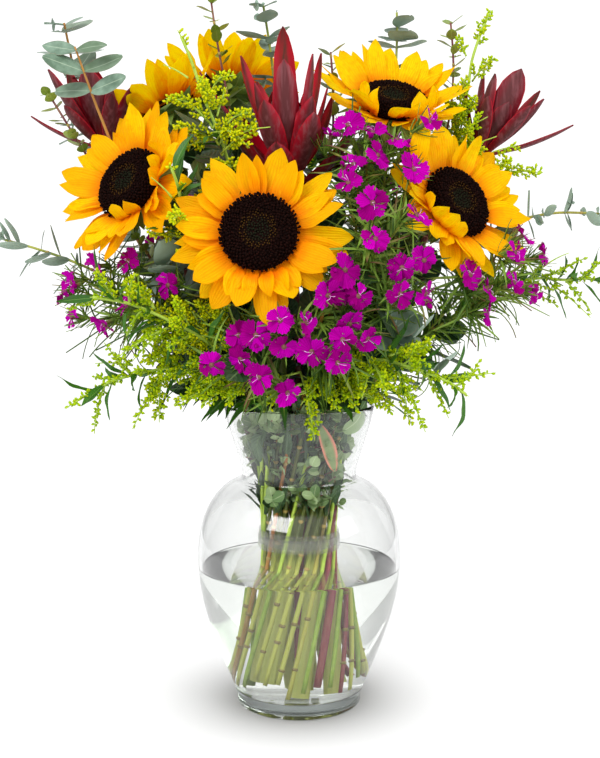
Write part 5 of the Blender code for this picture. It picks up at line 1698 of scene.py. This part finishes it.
# The shrub sprigs: thin red-brown stems with small oval leaves on short side twigs, olive green and
# a little bronzed.
SHRUBS = ("top_left", "top_right", "left", "top_centre")
LEAF, SPRIG = range(2)
shrub_leaf = Finish("small_shrub_leaf", 0.42, Specular_IOR_Level=0.4)
across, _, shade = shrub_leaf.place()
leaf_tone = shrub_leaf.blend(seen(92, 124, 40), seen(166, 184, 80), shade)
rib = shrub_leaf.off_middle(across, 0.02, 0.12, 0.5, 0.0)
bronze = shrub_leaf.ramp(shrub_leaf.noise(90, 2), 0.5, 0.7, 0.0, 0.5)
leaf_tone = shrub_leaf.blend(leaf_tone, seen(150, 110, 70), bronze)
shrub_leaf.colour(shrub_leaf.blend(leaf_tone, seen(176, 186, 110), rib))
shrub_leaf.bump(shrub_leaf.noise(600, 2), 0.15 * MM, 0.4)
shrub_leaf.glow(seen(130, 150, 40), 0.15)

for name in ("shrub_" + place for place in SHRUBS):
    draw = random.Random(name)
    growth = Growth()
    line, leaves = stem_and_leaves(name)
    stems[name] = line
    stem_of(growth, line, (1.5, 0.7), draw, SPRIG, sides=10, knot_every=24, knot=0.35)
    for blade in leaves:
        round_leaf(growth, blade, draw, LEAF, LEAF, 0.95)

    def small_pair(point, ahead, number):
        for hand in (0, 2):
            found = tried(point, ahead, draw, draw.uniform(8, 13), (0.3, 0.9), (-0.4, 0.4), number + hand)
            if found:
                blade = blade_along(found, draw.uniform(2.6, 3.9) * MM, 0.5 * MM)
                round_leaf(growth, blade, draw, LEAF, LEAF, steps=8, wide=5)

    def top_leaf(point, ahead, number):
        found = tried(point, ahead, draw, draw.uniform(8, 13), (0.2, 0.8), (-0.3, 0.3), number, False)
        if found:
            blade = blade_along(found, draw.uniform(3.4, 5) * MM, 0.5 * MM, widest_at=4)
            round_leaf(growth, blade, draw, LEAF, LEAF, steps=8, wide=5)

    dressed(line, 220, 410, 5, draw, small_pair)
    dressed(line, 410, 500, 6, draw, top_leaf)
    growth.piece(name + "_spray", [name], [shrub_leaf, woody, knot_brown])

# The leaves deep in the bunch: broad dark ones between the flowers, small grey-green oval ones and
# narrow ones that crowd the vase's collar, all sprung from the stems beside them. Some lie over the
# rim, and a few show through the glass, one of them edged with salmon.
DEEP, OVAL, COLLAR_WOOD, LYING, EDGED = range(5)
HEART_REACH = 105
deep_leaf = Finish("broad_dark_leaf", 0.42, Specular_IOR_Level=0.4)
across, along, shade = deep_leaf.place()
veins = deep_leaf.side_veins(across, along, -0.2, 60.0)
deep_tone = deep_leaf.blend(seen(30, 58, 24), seen(70, 100, 62), shade)
deep_tone = deep_leaf.blend(deep_tone, seen(22, 44, 18), deep_leaf.ramp(veins, 0.3, 1.0, 0.0, 0.45))
rib = deep_leaf.off_middle(across, 0.02, 0.08, 0.6, 0.0)
deep_leaf.colour(deep_leaf.blend(deep_tone, seen(120, 148, 96), rib))
deep_leaf.bump(veins, 0.25 * MM, 0.4)
oval_leaf = Finish("small_oval_leaf", 0.5, Specular_IOR_Level=0.3)
across, _, shade = oval_leaf.place()
oval_tone = oval_leaf.blend(seen(104, 136, 84), seen(178, 200, 146), shade)
rib = oval_leaf.off_middle(across, 0.03, 0.12, 0.6, 0.0)
oval_leaf.colour(oval_leaf.blend(oval_tone, seen(206, 220, 176), rib))
oval_leaf.bump(oval_leaf.noise(500, 2), 0.15 * MM, 0.4)
oval_leaf.glow(seen(150, 180, 90), 0.12)
edged_leaf = Finish("salmon_edged_leaf", 0.5, Specular_IOR_Level=0.3)
across, _, _ = edged_leaf.place()
margin = edged_leaf.off_middle(across, 0.45, 0.9)
mottle = edged_leaf.blend(seen(104, 132, 74), seen(142, 156, 104), edged_leaf.noise(240, 3))
edged_leaf.colour(edged_leaf.blend(mottle, seen(216, 134, 112), margin))
edged_leaf.bump(edged_leaf.noise(500, 2), 0.15 * MM, 0.4)
# Each leaf over the rim has its tip, the place where it crosses the rim, and its half width.
OVER_THE_RIM = [
    ((-77, -60, 218), (-63, -50, 238), 3.6), ((-48, -62, 207), (-30, -55, 226), 4.6),
    ((-60, -62, 216), (-50, -50, 230), 3.2), ((-9, -65, 206), (-10, -57, 223), 3.6),
    ((71, -60, 225), (53, -52, 234), 4.2), ((-89, -50, 226), (-71, -38, 238), 3.4),
    ((42, 64, 209), (32, 50, 228), 4.4), ((-38, 68, 208), (-28, 52, 226), 4.4),
    ((74, 36, 218), (52, 28, 232), 4.0), ((-78, 30, 220), (-55, 24, 234), 4.0),
]
# Each leaf in the collar has its root, middle and tip, its half width, and its finish.
COLLAR_LEAVES = [
    (((14, -35, 206), (20, -35, 190), (24, -29, 173)), 5.2, EDGED),
    (((30, -24, 200), (38, -24, 206), (43, -22, 213)), 7.5, OVAL),
    (((-22, -33, 204), (-28, -34, 194), (-26, -30, 180)), 5.0, DEEP),
]
growth = Growth()
for name, line in stems.items():
    draw = random.Random(name + " leaves")

    def broad_leaf(point, ahead, number):
        if math.hypot(point.x, point.y) > HEART_REACH * MM:
            return
        found = tried(point, ahead, draw, draw.uniform(28, 46), (0.3, 1.0), (-0.7, 0.4), number)
        if found:
            blade = blade_along(found, draw.uniform(8, 12) * MM, 0.7 * MM)
            round_leaf(growth, blade, draw, DEEP, DEEP, steps=8, wide=5)

    def collar_twig(point, ahead, number):
        found = tried(point, ahead, draw, draw.uniform(11, 20), (0.3, 2.4), (-0.8, 0.8), number, False)
        if not found:
            return
        twig = found[0]
        shaft(growth, twig, [0.45] * 7, 5, COLLAR_WOOD, draw.random())
        for step in (2, 3, 5, 6):
            onward = (twig[step] - twig[step - 1]).normalized()
            for hand in (0, 2):
                size = draw.uniform(7, 11)
                leaf = tried(twig[step], onward, draw, size, (0.3, 1.0), (-0.6, 0.6), step + hand, False)
                if leaf:
                    blade = blade_along(leaf, 0.34 * size * MM, 0.5 * MM)
                    finish = DEEP if draw.random() < 0.15 else OVAL
                    round_leaf(growth, blade, draw, finish, finish, steps=5, wide=5)

    def upright_leaf(point, ahead, number):
        found = tried(point, ahead, draw, draw.uniform(20, 36), (1.8, 3.5), (-0.3, 0.3), number, False)
        if found:
            lance_leaf(growth, blade_along(found, draw.uniform(2, 4.5) * MM), draw, DEEP)

    dressed(line, 220, 340, 17, draw, broad_leaf)
    dressed(line, 340, 400, 12, draw, broad_leaf)
    dressed(line, 168, 214, 10, draw, collar_twig)
    dressed(line, 142, 168, 18, draw, collar_twig)
    dressed(line, 130, 220, 12, draw, upright_leaf)
for tip, root, half in OVER_THE_RIM:
    tip, root = at(tip), at(root)
    start = Vector((root.x * 0.5, root.y * 0.5, root.z + 2 * MM))
    over = (root + tip) / 2 + Vector((0, 0, 1.5)) * MM
    out = Vector((root.x, root.y, 60 * MM)).normalized()
    stations = [(start, out, 0.8 * MM), (root, out, 0.8 * half * MM), (over, out, half * MM), (tip, out, 0.0)]
    lance_leaf(growth, stations, draw, LYING)
for points, half, finish in COLLAR_LEAVES:
    points = [at(point) for point in points]
    out = Vector((points[1].x, points[1].y, 0)).normalized()
    stations = [(points[0], out, 0.8 * MM), (points[1], out, half * MM), (points[2], out, 0.0)]
    round_leaf(growth, stations, draw, finish, finish)
finishes = [deep_leaf, oval_leaf, woody, lance_green, edged_leaf]
growth.piece("leaves_in_the_bunch", [], finishes)
